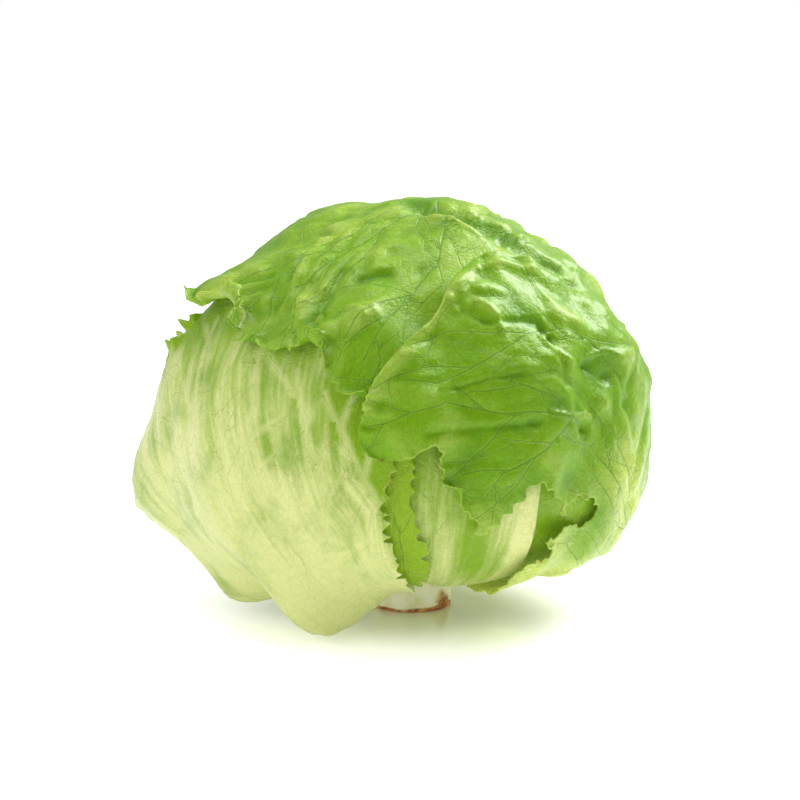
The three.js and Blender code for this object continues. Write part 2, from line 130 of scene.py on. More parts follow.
# Broad swellings and hollows of the whole head: azimuth, elevation, width in degrees, height
SWELLINGS = [
    (300, 84, 34, 2.4), (188, 27, 27, -4.8), (218, 62, 18, -3.2), (305, 38, 9, 1.6),
    (308, 26, 4, -2.2), (317, 2, 7, -1.6), (275, 34, 6, -2.0), (60, 30, 16, 1.5),
    (118, 12, 14, -1.8), (150, 55, 12, 1.6), (20, 8, 12, -1.5),
]

# Folds that every leaf follows: a path of azimuth and elevation, its width and its height
FOLDS = [
    ([(276, 80), (308, 71), (317, 60), (328, 50), (335, 40)], 5.5, -3.2),
    ([(263, 76), (300, 62), (317, 49), (325, 39), (337, 30)], 5, 1.4),
]

INNER_MIDRIB = [(0, -74), (0, -30), (0, 20)]
INNER_LEAVES = ("leaf_inner_right", "leaf_inner_back", "leaf_inner_left", "leaf_under_right")
WRAPPER_LEAVES = ("leaf_front", "leaf_strip", "leaf_back", "leaf_left", "leaf_top", "leaf_right")

# The leaves from the inside out. On its chart a leaf may state swells and tints (place, reach across
# and along, what they add), branches of its midrib, creases (path, width, height), spots (place, size,
# height), curls (place, stretch, length, radius), frills (place, stretch, height), and places where
# the margin is smooth or lobed. Its green states where the colour starts and where it is full, in
# degrees from the stem, and how green it gets.
LEAF_DEFAULTS = dict(
    swells=(), tints=(), branches=(), creases=(), spots=(), curls=(), frills=(), smooth=(), lobed=(),
    vein_size=1.0, fold=0.3, fold_scale=(22, 3), tooth=(1.8, 4.4), even_teeth=0.25, tooth_shape=1.0,
    fine_cuts=1,
)
LEAVES = [
    dict(
        name="leaf_inner_right", slot="inner_leaf", azimuth=15, root=(-55, 55), grain=1.2,
        margin=[(-26, -60), (-40, -32), (-44, 0), (-36, 28), (-14, 40), (12, 40), (34, 28), (44, 0),
                (40, -32), (26, -60)],
        midrib=INNER_MIDRIB, rib=1.2, teeth=0, ruffle=0, blister=0.2, green=(40, 120, 0.5),
    ),
    dict(
        name="leaf_inner_back", slot="inner_leaf", azimuth=98, root=(-55, 55), grain=1.2,
        margin=[(-24, -60), (-38, -34), (-42, -4), (-36, 26), (-16, 44), (10, 46), (32, 30), (42, 0),
                (38, -34), (24, -60)],
        midrib=INNER_MIDRIB, rib=1.3, teeth=1.2, ruffle=1.0, blister=0.4, green=(40, 110, 0.7),
    ),
    dict(
        name="leaf_inner_left", slot="inner_leaf", azimuth=186, root=(-55, 55), grain=1.1,
        margin=[(-24, -60), (-38, -34), (-42, -6), (-36, 20), (-24, 25), (-14, 27), (-6, 29), (2, 32),
                (9, 35), (17, 34), (26, 28), (36, 18), (42, -6), (36, -34), (24, -60)],
        midrib=INNER_MIDRIB, rib=1.2, teeth=2.0, ruffle=1.8, blister=0.6, green=(40, 100, 1.0),
        tooth=(2.8, 5.5), lobed=[(0, 30, 16)], frills=[(-6, 27, 5, 13), (4, 31, 5, 12)],
    ),
    dict(
        name="leaf_under_right", slot="inner_leaf", azimuth=322, root=(-50, 55), grain=0.9,
        margin=[(-18, -66), (-27, -46), (-31, -22), (-27, 4), (-10, 20), (12, 20), (28, 6), (33, -16),
                (30, -42), (20, -64)],
        midrib=[(0, -74), (0, -40), (0, 5)], rib=1.0, teeth=1.4, ruffle=0.8, blister=0.3,
        green=(25, 80, 0.9),
    ),
    dict(
        name="leaf_front", slot="pale_leaf", azimuth=285, root=(-55, 52), grain=0.75,
        margin=[(-15, -66), (-28, -48), (-36, -25), (-38, 2), (-28, 26), (-8, 36), (8, 32), (17, 18),
                (17, 4), (16, -7), (15, -14), (14.5, -22), (13.5, -31), (12, -39), (13, -50), (12, -64)],
        midrib=[(-2, -74), (-8, -45), (-10, -10), (-8, 15)], rib=1.3, teeth=0, ruffle=0.4,
        swells=[(10, -18, 12, 22, 1.5), (2, -48, 16, 13, 5)], blister=0.25, green=(8, 70, 0.75),
        vein_size=0.45, tints=[(13, -25, 6, 24, -0.95), (4, -46, 9, 8, -0.3)],
    ),
    dict(
        name="leaf_strip", slot="strip_leaf", azimuth=250, root=(-40, 48), grain=0.75,
        margin=[(-16, -64), (-26, -40), (-30, -12), (-24, 14), (-6, 27), (12, 22), (20, 10), (21, 0),
                (20.5, -8), (20.5, -16), (22, -24), (21, -33), (17, -44), (13, -60)],
        midrib=[(1, -74), (6, -45), (8, -10)], rib=1.0, teeth=2.3, ruffle=1.2, blister=0.4, tooth=(1.5, 6.2),
        even_teeth=0.15, fine_cuts=2, green=(15, 60, 1.0),
    ),
    dict(
        name="leaf_back", slot="green_leaf", azimuth=140, root=(-55, 55), grain=0.9,
        margin=[(-20, -64), (-36, -38), (-45, -8), (-47, 22), (-38, 48), (-16, 62), (8, 64), (30, 54),
                (43, 34), (47, 8), (43, -22), (34, -42), (20, -64)],
        midrib=[(0, -74), (4, -40), (3, 0), (-2, 35)], rib=2.0, teeth=2.2, ruffle=2.6,
        swells=[(2, -52, 10, 16, 3)], blister=1.0, green=(35, 95, 0.95),
    ),
    dict(
        name="leaf_left", slot="pale_leaf", azimuth=215, root=(-50, 58), grain=0.65,
        margin=[(-8, -70), (-5, -61), (-12, -54), (-24, -43), (-31, -30), (-36, -18), (-41, -6), (-43, 4),
                (-41, 12), (-35, 19), (-29, 25), (-23, 31), (-16, 37), (-8, 43), (0, 47),
                (8, 48), (24, 46), (38, 38), (50, 24),
                (54, 10), (53, -1), (50, -10), (49.5, -14), (48.5, -20), (46.5, -30), (45, -38), (42, -50),
                (34, -63)],
        midrib=[(4, -75), (12, -62), (19, -48), (15, -30), (5, -10), (-6, 12), (-13, 28)],
        rib=2.4, teeth=2.6, ruffle=1.6,
        swells=[(15, -52, 12, 16, 21.8), (-13, -49, 12, 12, 22), (-38, -23, 13, 14, 11)],
        branches=[
            [(18, -52), (32, -29), (35, -6), (30, 8), (25, 20)],
            [(19, -50), (40, -32), (46, -13), (40, 5), (33, 17)],
            [(14, -45), (11, -28), (15, -7), (17, 11), (13, 22)],
        ],
        blister=0.3, green=(50, 150, 0.75), fold=0.55, fold_scale=(30, 2), tooth=(1.6, 6.4), even_teeth=0.15,
        tooth_shape=0.8, fine_cuts=2, lobed=[(-27, 27, 15)],
        frills=[(-32, 22, 6, 5.0), (-24, 30, 6, 6.0)],
        tints=[(51, -14, 8, 26, 0.55), (42, 12, 9, 12, 0.4), (-10, -50, 10, 12, 0.35), (-34, -24, 9, 12, 0.2),
               (-28, 27, 7, 7, 1.2), (5, 32, 16, 8, 0.25), (24, 10, 12, 10, 0.15)],
    ),
    dict(
        name="leaf_top", slot="green_leaf", azimuth=45, root=(-55, 55), grain=0.78,
        margin=[(-18, -66), (-30, -48), (-41, -30), (-50, -5), (-55, 20), (-58, 45), (-60, 70), (-62, 95),
                (-60, 120), (-54, 140), (-45, 157), (-37, 168), (-31, 168), (-27, 164), (-20, 157),
                (-12, 158), (-3, 159), (5, 155), (14, 150), (22, 149.5), (30, 148), (38, 140), (46, 127),
                (53, 110), (56, 90), (55, 66), (53, 40), (49, 12), (43, -14), (34, -38), (20, -64)],
        midrib=[(0, -74), (3, -30), (4, 10), (2, 50), (-4, 85), (-3, 105), (0, 121), (4, 138)],
        rib=2.0, teeth=2.4, ruffle=3.0,
        swells=[(30, 146, 9, 9, 3.5), (12, 146, 10, 8, 2.0), (0, -54, 10, 16, 3)],
        branches=[
            [(-4, 85), (-10, 102), (-10, 117), (-7, 132), (-6, 146)],
            [(-4, 85), (-22, 100), (-31, 114), (-33, 130), (-32, 142), (-31, 155)],
            [(-33, 130), (-25, 132), (-16, 137), (-12, 144)],
            [(-33, 130), (-29, 137), (-26, 146), (-25, 152)],
        ],
        blister=1.2, green=(35, 95, 0.62), fold=0.9, fold_scale=(16, 2.5),
        lobed=[(34, 148, 15), (20, 152, 6)], smooth=[(-33, 166, 5)],
        creases=[
            ([(-33, 128), (-31, 120), (-35, 108)], 2.4, -2.2),
            ([(-31, 124), (-33, 130), (-40, 127)], 0.9, 1.2),
            ([(5, 122), (3, 129), (0, 138)], 1.4, -2.0),
            ([(3, 120), (1, 129), (-3, 138), (-4, 147)], 1.6, 1.4),
            ([(-2, 115), (-5, 128), (-7, 140), (-11, 149)], 1.4, 1.0),
            ([(-18, 100), (-31, 95), (-40, 96), (-44, 85)], 2.0, 1.8),
            ([(-2, 92), (-16, 91), (-29, 82)], 4.2, -3.0),
            ([(-35, 80), (-39, 66)], 2.6, -2.4),
            ([(-44, 69), (-47, 55)], 2.2, -2.2),
            ([(-51, 55), (-49, 44)], 2.0, -1.8),
            ([(-19, 133), (-24, 127)], 1.8, -1.8),
            ([(-25, 145), (-26, 140), (-31, 143)], 0.9, 1.0),
            ([(-28, 148), (-27, 143), (-22, 142)], 0.9, 1.0),
            ([(14, 142), (8, 138)], 1.6, -1.8),
            ([(10, 146), (5, 141)], 1.4, -1.6),
            ([(-13, 132), (-14, 141), (-16, 151)], 1.8, -1.5),
            ([(-28, 137), (-26, 152), (-27, 161)], 1.8, 1.2),
        ],
        spots=[
            (-27, 144, 4.5, 2.2), (-8, 144, 3.6, 2.0), (-16, 147, 2.2, -2.0), (-12, 138, 3.0, 1.4),
            (-20, 150, 3.0, 1.4), (2, 145, 2.6, 1.5), (12, 136, 3.0, 1.4), (20, 140, 3.4, 1.5),
            (-34, 118, 2.6, 1.4), (-12, 124, 3.6, 1.2), (-20, 120, 3.0, -1.2),
        ],
        curls=[(32, 150, 8, 5.5, 1.9), (10, 151, 9, 9.5, 2.1), (-4, 158, 4, 6, 1.5), (-19, 157, 5, 7.5, 1.6),
               (-33, 166, 5, 8, 1.9), (45, 140, 7, 6, 1.7)],
        frills=[(36, 146, 8, 2.0), (20, 152, 6, 3.0), (2, 155, 7, 4.0), (-8, 159, 6, 3.5), (-20, 157, 6, 3.0),
                (-33, 165, 6, 2.5)],
        # The tint at (-40, 158) deepens the green there as painted shade.
        tints=[(10, 150, 7, 5, -0.2), (-24, 152, 9, 8, 0.3), (-40, 158, 9, 10, 0.4), (30, 120, 16, 20, 0.1)],
    ),
    dict(
        name="leaf_right", slot="green_leaf", azimuth=325, root=(-12, 60), grain=0.65,
        margin=[(-5, -73), (-12, -63), (-20, -53), (-24.5, -43), (-24.5, -35), (-23, -29), (-17.5, -26.5),
                (-21, -23), (-20, -20.5), (-14, -19.5), (-8, -20), (-4.5, -18), (-7, -15), (-11, -13.8),
                (-15.5, -14.5), (-17.5, -17.5), (-20, -12.5), (-24, -9.5), (-27, -9), (-29, -13),
                (-35, -21), (-38, -25),
                (-41, -18), (-46, -14), (-49, -8), (-50, 4), (-56, 0), (-63, -1), (-66, 7), (-65, 18),
                (-61, 31), (-52, 39), (-40, 44), (-30, 51), (-17, 54), (-7, 49), (1, 42), (9, 34),
                (20, 26), (32, 20), (45, 14), (54, 4), (54, -10), (46, -28), (35, -46), (20, -66)],
        midrib=[(12, -74), (19, -50), (16, -27), (0, -10), (-9, 0), (-15, 7)],
        rib=1.6, teeth=1.6, ruffle=1.0,
        swells=[(6, -44, 22, 15, 4), (-8, 22, 22, 20, 1.2)],
        branches=[
            [(-15, 7), (-26, 10), (-34, 11), (-40, 14), (-47, 18)],
            [(-15, 7), (-22, 2), (-29, -2), (-35, -5), (-38, -12)],
            [(-15, 7), (-20, 13), (-24, 15), (-32, 20)],
            [(8, 0), (5, 14), (-4, 24), (-12, 28), (-21, 29), (-30, 27), (-39, 25), (-47, 24), (-53, 29)],
            [(18, -50), (28, -20), (30, 0), (22, 12), (8, 26)],
        ],
        # The first tint pales the right of the blade as a painted sheen.
        blister=1.0, green=(40, 105, 1.0), tints=[(7, -2, 9, 12, -0.35), (0, -28, 14, 10, 0.22)],
        smooth=[(-66, 12, 12), (-52, 39, 16), (-30, 51, 16), (-8, 49, 14), (12, 32, 16)],
        creases=[
            (
                [(-62, 26), (-55, 34), (-48, 39), (-40, 44), (-32, 48), (-24, 51), (-16, 50), (-9, 45)],
                2.2, 1.6,
            ),
            ([(-18, 28), (-16, 23), (-11, 19)], 0.9, 1.1),
            ([(-27, 32), (-27, 38), (-29, 43)], 1.2, 1.2),
            ([(-8, 19), (-4, 20), (2, 20), (6, 17)], 0.8, 1.0),
            ([(-21, 9), (-15, 7), (-8, 6)], 0.9, 1.2),
            ([(-47, 21), (-37, 21), (-27, 20)], 1.0, -0.8),
            ([(-51, 9), (-40, 8), (-26, 7)], 1.6, -1.0),
            ([(-30, 36), (-22, 33), (-16, 31)], 1.4, -1.0),
        ],
        spots=[
            (-34, 46, 1.3, 1.1), (-34, 43, 1.2, 1.0), (-30, 46, 1.2, 1.0), (-31, 42, 1.3, 1.0),
            (-26, 45, 1.3, 1.1),
            (-16, 29, 1.7, -1.8), (-15, 26, 1.6, -1.8), (-6, 18, 2.0, -1.8), (0, 14, 2.6, -1.8),
            (-10, 3, 2.2, -2.0), (-22, 38, 6.0, -1.2), (-10, 26, 3.0, 1.2), (-5, 29, 3.0, 1.2),
            (4, 24, 3.4, 1.3),
            (-14, 12, 2.4, 0.9), (-3, 8, 3.0, 1.3), (6, 6, 3.4, -1.4), (12, 14, 3.4, 1.4), (-24, 0, 3.6, 1.0),
        ],
        curls=[(-8, -15, 5, 2.5, 1.0), (-46, -12, 4, 5.5, 1.5), (-63, 5, 4, 2.5, 1.2)],
        frills=[(-18, -24, 9, 1.2), (-24, -42, 10, 1.5)],
    ),
]

# Veins that branch off the midrib, off those and off those again: degrees on the chart, and widths in
# millimetres at both ends of a midrib and of each level
VEIN_STEP = 1.1
VEIN_RULES = [
    dict(spacing=(5, 10), turn=(26, 42), bend=0.012, wobble=0.06, reach=75, merge=1.3),
    dict(spacing=(3.5, 8), turn=(26, 50), bend=0.008, wobble=0.09, reach=34, merge=1.1),
    dict(spacing=(3, 7), turn=(40, 75), bend=0.0, wobble=0.22, reach=11, merge=0.9),
]
VEIN_WIDTHS = [(0.6, 0.32), (0.34, 0.2), (0.22, 0.15), (0.15, 0.12)]
VEIN_INSET = 0.8
VEIN_FREE_STEPS = 5
SHORTEST_VEIN = 4

# Relief between the veins: pillows of the strong veins, crumples (size and share), and folds
PILLOW_VEINS = 2
PILLOW_HALF_WIDTH = 2.4
PILLOW_HEIGHT = 1.7
PILLOW_SWING = (0.3, 0.9, 12)
CRUMPLES = [(6.5, 0.6), (3.2, 0.25), (22, 0.9)]
CREASE_STEP = 1.5

# Waves of the margin: their mean, their pace and height along it, and how far inward they reach
WAVE_MEAN = 0.5
WAVES = [(0.55, 0.3, 1), (1.25, 0.25, 2)]
WAVE_REACH = 4

# What makes the waves uneven: a slow swing (height, pace) and noise (height, size) that shift them,
# and noise (mean, swing, size) that scales them
DRIFT = (1.6, 0.11)
DRIFT_NOISE = (1.2, 9)
RUFFLE_NOISE = (0.55, 0.6, 16)

# Degrees from the margin where its outline counts, and a distance that stands for far away
EDGE_ZONE = 6
FAR = 9.0

# A blade thins to a share at its margin
THIN_ZONE = 5
THIN_SHARE = 0.45
THINNEST = 0.35

# Map along the blade: its streaks run from a point this far below the base
FLOW_START = 25
FLOW_LENGTH = 60

# Pale ground along the midrib: its half width, where it ends, and its share
PALE_RIB = 7
PALE_RIB_ENDS = (20, 110)
PALE_RIB_SHARE = 0.6
MOTTLE_SIZE = 18
MOTTLE_SHARE = 0.08

# How strongly the blades of each material slot show streaks, dark veins and pale main ribs
FINISHES = {
    "inner_leaf": {"Streaks": 0.5, "Lines": 0.55, "Ribs": 0.0},
    "pale_leaf": {"Streaks": 1.0, "Lines": 0.25, "Ribs": 0.6},
    "strip_leaf": {"Streaks": 0.5, "Lines": 0.55, "Ribs": 0.0},
    "green_leaf": {"Streaks": 0.4, "Lines": 0.7, "Ribs": 0.0},
}


def smoothstep(low, high, value):
    t = np.clip((value - low) / (high - low), 0, 1)
    return t * t * (3 - 2 * t)


def lerp(a, b, t):
    return a + (b - a) * t


def direction(azimuth, elevation):
    a, e = math.radians(azimuth), math.radians(elevation)
    return np.array((math.cos(e) * math.cos(a), math.cos(e) * math.sin(a), math.sin(e)))


def angle_between(d, e):
    return np.degrees(np.arccos(np.clip(np.sum(d * e, axis=-1), -1, 1)))


def angle_from_stem(d):
    return np.degrees(np.arccos(np.clip(-d[:, 2], -1, 1)))


def hashed(i, j, k, seed):
    """A repeatable value from 0 to 1 at each point of a lattice."""
    h = (i * 374761393 + j * 668265263 + k * 1440662683 + seed * 97531) & 0xFFFFFFFF
    h = ((h ^ (h >> 13)) * 1274126177) & 0xFFFFFFFF
    return ((h ^ (h >> 16)) & 0xFFFF) / 65535


def noise(points, size, seed):
    """Smooth noise from -1 to 1 whose lumps are about `size` across."""
    p = points / size
    cell = np.floor(p).astype(np.int64)
    t = p - cell
    t = t * t * (3 - 2 * t)
    total = 0
    for corner in range(8):
        step = np.array((corner & 1, corner >> 1 & 1, corner >> 2 & 1))
        weight = np.prod(np.where(step, t, 1 - t), axis=1)
        total = total + weight * hashed(*(cell + step).T, seed)
    return 2 * total - 1


# Form of the head under its leaves


def head_reach(d):
    """Distance from the middle of the head to its overall outline."""
    flat = np.hypot(d[:, 0], d[:, 1]) + 1e-9
    sideways = np.where(d[:, 0] > 0, REACH["right"], REACH["left"])
    lengthways = np.where(d[:, 1] > 0, REACH["back"], REACH["front"])
    plan = 1 / (np.hypot(d[:, 0] / flat / sideways, d[:, 1] / flat / lengthways) + 1e-9)
    up = d[:, 2] > 0
    power = np.where(up, ROUNDNESS["up"], ROUNDNESS["down"])
    height = np.where(up, REACH["up"], REACH["down"])
    return ((flat / plan) ** power + (np.abs(d[:, 2]) / height) ** power) ** (-1 / power)


def angle_to_path(d, path):
    """Angle from each direction to a path of azimuths and elevations."""
    knots = np.array([direction(a, e) for a, e in path])
    nearest = np.full(len(d), 180.0)
    for a, b in zip(knots[:-1], knots[1:]):
        t = np.clip((d - a) @ (b - a) / np.dot(b - a, b - a), 0, 1)
        point = a + t[:, None] * (b - a)
        point /= np.linalg.norm(point, axis=1, keepdims=True)
        nearest = np.minimum(nearest, angle_between(d, point))
    return nearest


def bed_radius(d):
    """Surface on which the innermost leaves lie."""
    from_stem = angle_from_stem(d)
    above = lerp(ROOM["side"], ROOM["top"], smoothstep(*ROOM_TOP_STARTS, from_stem))
    room = lerp(ROOM["stem"], above, smoothstep(*ROOM_STEM_ENDS, from_stem))
    radius = head_reach(d) - room
    for azimuth, elevation, width, height in SWELLINGS:
        away = angle_between(d, direction(azimuth, elevation)) / width
        radius = radius + height * np.exp(-away * away)
    for path, width, height in FOLDS:
        away = angle_to_path(d, path) / width
        radius = radius + height * np.exp(-away * away)
    return radius


def stem_radius(z):
    heights = [z for _, z in STEM_PROFILE[1:]]
    radii = [r for r, _ in STEM_PROFILE[1:]]
    return np.interp(z, heights, radii)


# Charts


def spline(knots, step):
    """A smooth curve through the knots, as points at an even step."""
    k = np.array(knots, float)
    before = np.vstack((k[:1], k[:-1]))
    after = np.vstack((k[2:], k[-1:], k[-1:]))
    curve = []
    for i in range(len(k) - 1):
        t = np.linspace(0, 1, CURVE_SAMPLES, endpoint=False)[:, None]
        v0 = (k[i + 1] - before[i]) / 2
        v1 = (after[i] - k[i]) / 2
        cubic = (2 * k[i] - 2 * k[i + 1] + v0 + v1) * t**3
        square = (-3 * k[i] + 3 * k[i + 1] - 2 * v0 - v1) * t**2
        curve.append(cubic + square + v0 * t + k[i])
    curve = np.vstack(curve + [k[-1:]])
    return even_steps(curve, step)


def run_along(line):
    """Distance from the start of a line to each of its points."""
    return np.concatenate(([0], np.cumsum(np.hypot(*np.diff(line, axis=0).T))))


def even_steps(line, step):
    run = run_along(line)
    wanted = np.linspace(0, run[-1], max(2, int(round(run[-1] / step)) + 1))
    return np.column_stack([np.interp(wanted, run, line[:, i]) for i in (0, 1)])


def to_segments(points, start, end):
    """Nearest of a set of segments for each point of a chart: distance, signed by its side,
    the index of the segment with the share along it, and the nearest point itself."""
    distance = np.empty(len(points))
    along = np.empty(len(points))
    nearest = np.empty((len(points), 2))
    u = end - start
    chunk = max(1, 2_000_000 // len(start))
    for first in range(0, len(points), chunk):
        p = points[first:first + chunk, None, :]
        squeeze = narrowing(p)
        ax = start[:, 0] - p[..., 0]
        ay = (start[:, 1] - p[..., 1]) * squeeze
        uy = u[:, 1] * squeeze
        t = np.clip(-(ax * u[:, 0] + ay * uy) / (u[:, 0] ** 2 + uy**2 + NO_SEGMENT), 0, 1)
        dx = ax + t * u[:, 0]
        dy = ay + t * uy
        away = dx * dx + dy * dy
        best = np.argmin(away, axis=1)
        row = np.arange(len(best))
        share = t[row, best]
        side = np.sign(dx[row, best] * uy[row, best] - dy[row, best] * u[best, 0])
        part = slice(first, first + len(best))
        distance[part] = np.sqrt(away[row, best]) * np.where(side == 0, 1, side)
        along[part] = best + share
        nearest[part] = start[best] + share[:, None] * u[best]
    return distance, along, nearest


def nearest_segments(points, start, end):
    """Signed distance to the nearest of many short segments, and its index, tile by tile."""
    distance = np.empty(len(points))
    index = np.empty(len(points), int)
    tiles, where = np.unique(np.floor(points / TILE), axis=0, return_inverse=True)
    where = where.ravel()
    low = np.minimum(start, end)
    high = np.maximum(start, end)
    for i, tile in enumerate(tiles):
        rows = np.flatnonzero(where == i)
        near = np.all((low < (tile + 1) * TILE + TILE_REACH) & (high > tile * TILE - TILE_REACH), axis=1)
        picked = np.flatnonzero(near) if near.any() else np.arange(len(start))
        away, along, _ = to_segments(points[rows], start[picked], end[picked])
        distance[rows] = away
        index[rows] = picked[np.minimum(along.astype(int), len(picked) - 1)]
    return distance, index


def narrowing(points):
    """How much narrower a degree along the chart gets away from the midrib meridian."""
    return np.cos(np.radians(points[..., 0]))


def nearness(points, place, size, squeeze=1.0):
    """1 at a place on the chart, dying away round it."""
    away = np.hypot(points[:, 0] - place[0], (points[:, 1] - place[1]) * squeeze) / size
    return np.exp(-away * away)


def inside_polygon(points, polygon):
    inside = np.zeros(len(points), bool)
    x, y = points.T
    for a, b in zip(polygon, np.roll(polygon, -1, axis=0)):
        crosses = (a[1] > y) != (b[1] > y)
        if crosses.any():
            inside ^= crosses & (x < a[0] + (b[0] - a[0]) * (y - a[1]) / (b[1] - a[1] + 1e-12))
    return inside


class Leaf:
    """One leaf on its chart. Its form is a radius for each direction from the middle of the head."""

    def __init__(self, spec, inner, seed, settings):
        self.__dict__.update(LEAF_DEFAULTS)
        self.__dict__.update(spec)
        self.teeth *= settings.tooth_depth
        self.ruffle *= settings.ruffle_height
        self.inner = inner
        self.outer = []
        self.random = np.random.default_rng(seed)
        self.seed = seed
        self.east = direction(self.azimuth, 0)
        self.across = direction(self.azimuth + 90, 0)
        self.rib_line = np.array(self.midrib, float)
        left, right = self.root
        turns = np.linspace(right, left, round((right - left) / ROOT_STEP) + 1)
        root = self.root_points(turns)
        self.curve = spline([root[-1], *self.margin, root[0]], OUTLINE_STEP)
        self.root_arc = root[1:-1]
        self.smooth_outline = np.vstack((self.curve[::EVERY_FEW], self.root_arc))
        self.map = self.distance_map()
        self.toothed, self.tips = self.cut_teeth()

    def to_direction(self, points):
        across = np.radians(points[:, 0:1])
        along = np.radians(points[:, 1:2] + 90)
        d = np.sin(across) * self.across + np.cos(across) * np.sin(along) * self.east
        d[:, 2:3] -= np.cos(across) * np.cos(along)
        return d

    def to_chart(self, d):
        x = np.degrees(np.arcsin(np.clip(d @ self.across, -1, 1)))
        y = np.degrees(np.arctan2(d @ self.east, -d[:, 2])) - 90
        return np.column_stack((x, np.where(y < CHART_ALONG[0], y + 360, y)))

    def distance_map(self):
        """Distance from the smooth outline over the whole chart, positive inside."""
        xs = np.arange(-CHART_ACROSS, CHART_ACROSS + MAP_STEP, MAP_STEP)
        ys = np.arange(CHART_ALONG[0], CHART_ALONG[1] + MAP_STEP, MAP_STEP)
        grid = np.stack(np.meshgrid(xs, ys, indexing="ij"), axis=-1).reshape(-1, 2)
        outline = self.smooth_outline
        away = np.abs(to_segments(grid, outline, np.roll(outline, -1, axis=0))[0])
        signed = np.where(inside_polygon(grid, outline), away, -away)
        return signed.reshape(len(xs), len(ys))

    def depth(self, points):
        """Distance from the smooth outline, read from the map."""
        m = self.map
        gx = np.clip((points[:, 0] + CHART_ACROSS) / MAP_STEP, 0, m.shape[0] - 1.001)
        gy = np.clip((points[:, 1] - CHART_ALONG[0]) / MAP_STEP, 0, m.shape[1] - 1.001)
        i, j = gx.astype(int), gy.astype(int)
        s, t = gx - i, gy - j
        low = m[i, j] * (1 - t) + m[i, j + 1] * t
        high = m[i + 1, j] * (1 - t) + m[i + 1, j + 1] * t
        return low * (1 - s) + high * s

    def rest_radius(self, d):
        """Surface that the blade lies on: the bed, raised by each leaf underneath."""
        radius = bed_radius(d)
        for leaf in self.inner:
            cover = leaf.cover(d)
            radius = radius + cover * (leaf.thickness(d) + leaf.swell(d) + BLADE_GAP)
        return radius

    def root_points(self, turns):
        """Points of the chart where the blade leaves the stem, at azimuths from the midrib."""
        a = np.radians(self.azimuth + np.asarray(turns, float))
        polar = np.full(len(a), math.radians(ROOT_GUESS))

        def aimed():
            flat = np.sin(polar)
            return np.column_stack((flat * np.cos(a), flat * np.sin(a), -np.cos(polar)))

        for _ in range(ROOT_ROUNDS):
            d = aimed()
            radius = self.rest_radius(d) + self.swell(d)
            wanted = stem_radius(MIDDLE_Z - radius * np.cos(polar)) + ROOT_CLEARANCE
            polar = np.arcsin(np.clip(wanted / radius, *ROOT_LIMITS))
        return self.to_chart(aimed())

    def cover(self, d):
        """How far this leaf lifts what lies over it: 1 over the blade, fading beyond its margin."""
        points = self.to_chart(d)
        cover = 1 - smoothstep(COVER_NEAR, COVER_FAR, -self.depth(points))
        return np.where(np.abs(points[:, 0]) > CHART_ACROSS, 0, cover)

    def thickness(self, d):
        points = self.to_chart(d)
        line = self.rib_line
        away, along, _ = to_segments(points, line[:-1], line[1:])
        away = away / RIB_WIDTH
        taper = 1 - (along / (len(line) - 1)) ** RIB_TAPER
        base = 1 - smoothstep(*BASE_ENDS, angle_from_stem(d))
        return BLADE + self.rib * taper * np.exp(-away * away) + BASE_THICKENING * base

    def gaussians(self, points, spots):
        squeeze = narrowing(points)
        total = np.zeros(len(points))
        for x, y, across, along, height in spots:
            a = (points[:, 0] - x) / across
            b = (points[:, 1] - y) * squeeze / along
            total += height * np.exp(-a * a - b * b)
        return total

    def swell(self, d):
        return self.gaussians(self.to_chart(d), self.swells)

    def openness(self, d):
        """1 where nothing lies over this leaf, 0 where another leaf does."""
        open_air = np.ones(len(d))
        for leaf in self.outer:
            open_air = np.minimum(open_air, 1 - leaf.cover(d))
        return open_air

    def bareness(self, d):
        """1 clear of the margins of the leaves outside this one, 0 under their blades."""
        bare = np.ones(len(d))
        for leaf in self.outer:
            bare = np.minimum(bare, smoothstep(*BARE_FROM, -leaf.depth(leaf.to_chart(d))))
        return bare

    def cut_teeth(self):
        """The outline with its teeth: sharp leaning tips between round sinuses, or round lobes."""
        line = self.curve
        if not self.teeth:
            return np.vstack((line, self.root_arc)), np.empty((0, 2))
        ahead = np.vstack((line[1:], line[-1:])) - np.vstack((line[:1], line[:-1]))
        inward = np.column_stack((ahead[:, 1], -ahead[:, 0]))
        inward /= np.linalg.norm(inward, axis=1, keepdims=True) + 1e-9
        run = np.arange(len(line)) * OUTLINE_STEP
        knots = [0.0]
        while knots[-1] < run[-1]:
            knots.append(knots[-1] + self.random.uniform(*self.tooth))
        knots = np.array(knots)
        sinus = np.searchsorted(knots, run, side="right") - 1
        span = np.diff(np.append(knots, knots[-1] + 3))[sinus]
        share = (run - knots[sinus]) / span
        deep = self.random.uniform(self.even_teeth, 1, len(knots))[sinus]
        lean = self.random.uniform(*TOOTH_LEAN, len(knots))[sinus]
        start = smoothstep(*TEETH_START, line[:, 1])
        lobed = np.zeros(len(line))
        for *place, size in self.smooth:
            start = start * (1 - nearness(line, place, size))
        for *place, size in self.lobed:
            lobed = np.maximum(lobed, nearness(line, place, size))
        arch = np.sin(np.pi * np.clip(share, 0, 1) ** lean)
        sharp = self.teeth * deep * arch**self.tooth_shape
        rounded = np.minimum(self.teeth, LOBE_DEPTH * span) * (1 - arch**LOBE_ROUNDNESS)
        cut = lerp(sharp, rounded, lobed) * start
        toothed = line + inward * cut[:, None]
        at = np.unique(np.clip(np.round(knots / OUTLINE_STEP).astype(int), 0, len(line) - 1))
        return np.vstack((toothed, self.root_arc)), toothed[at]

    # Veins

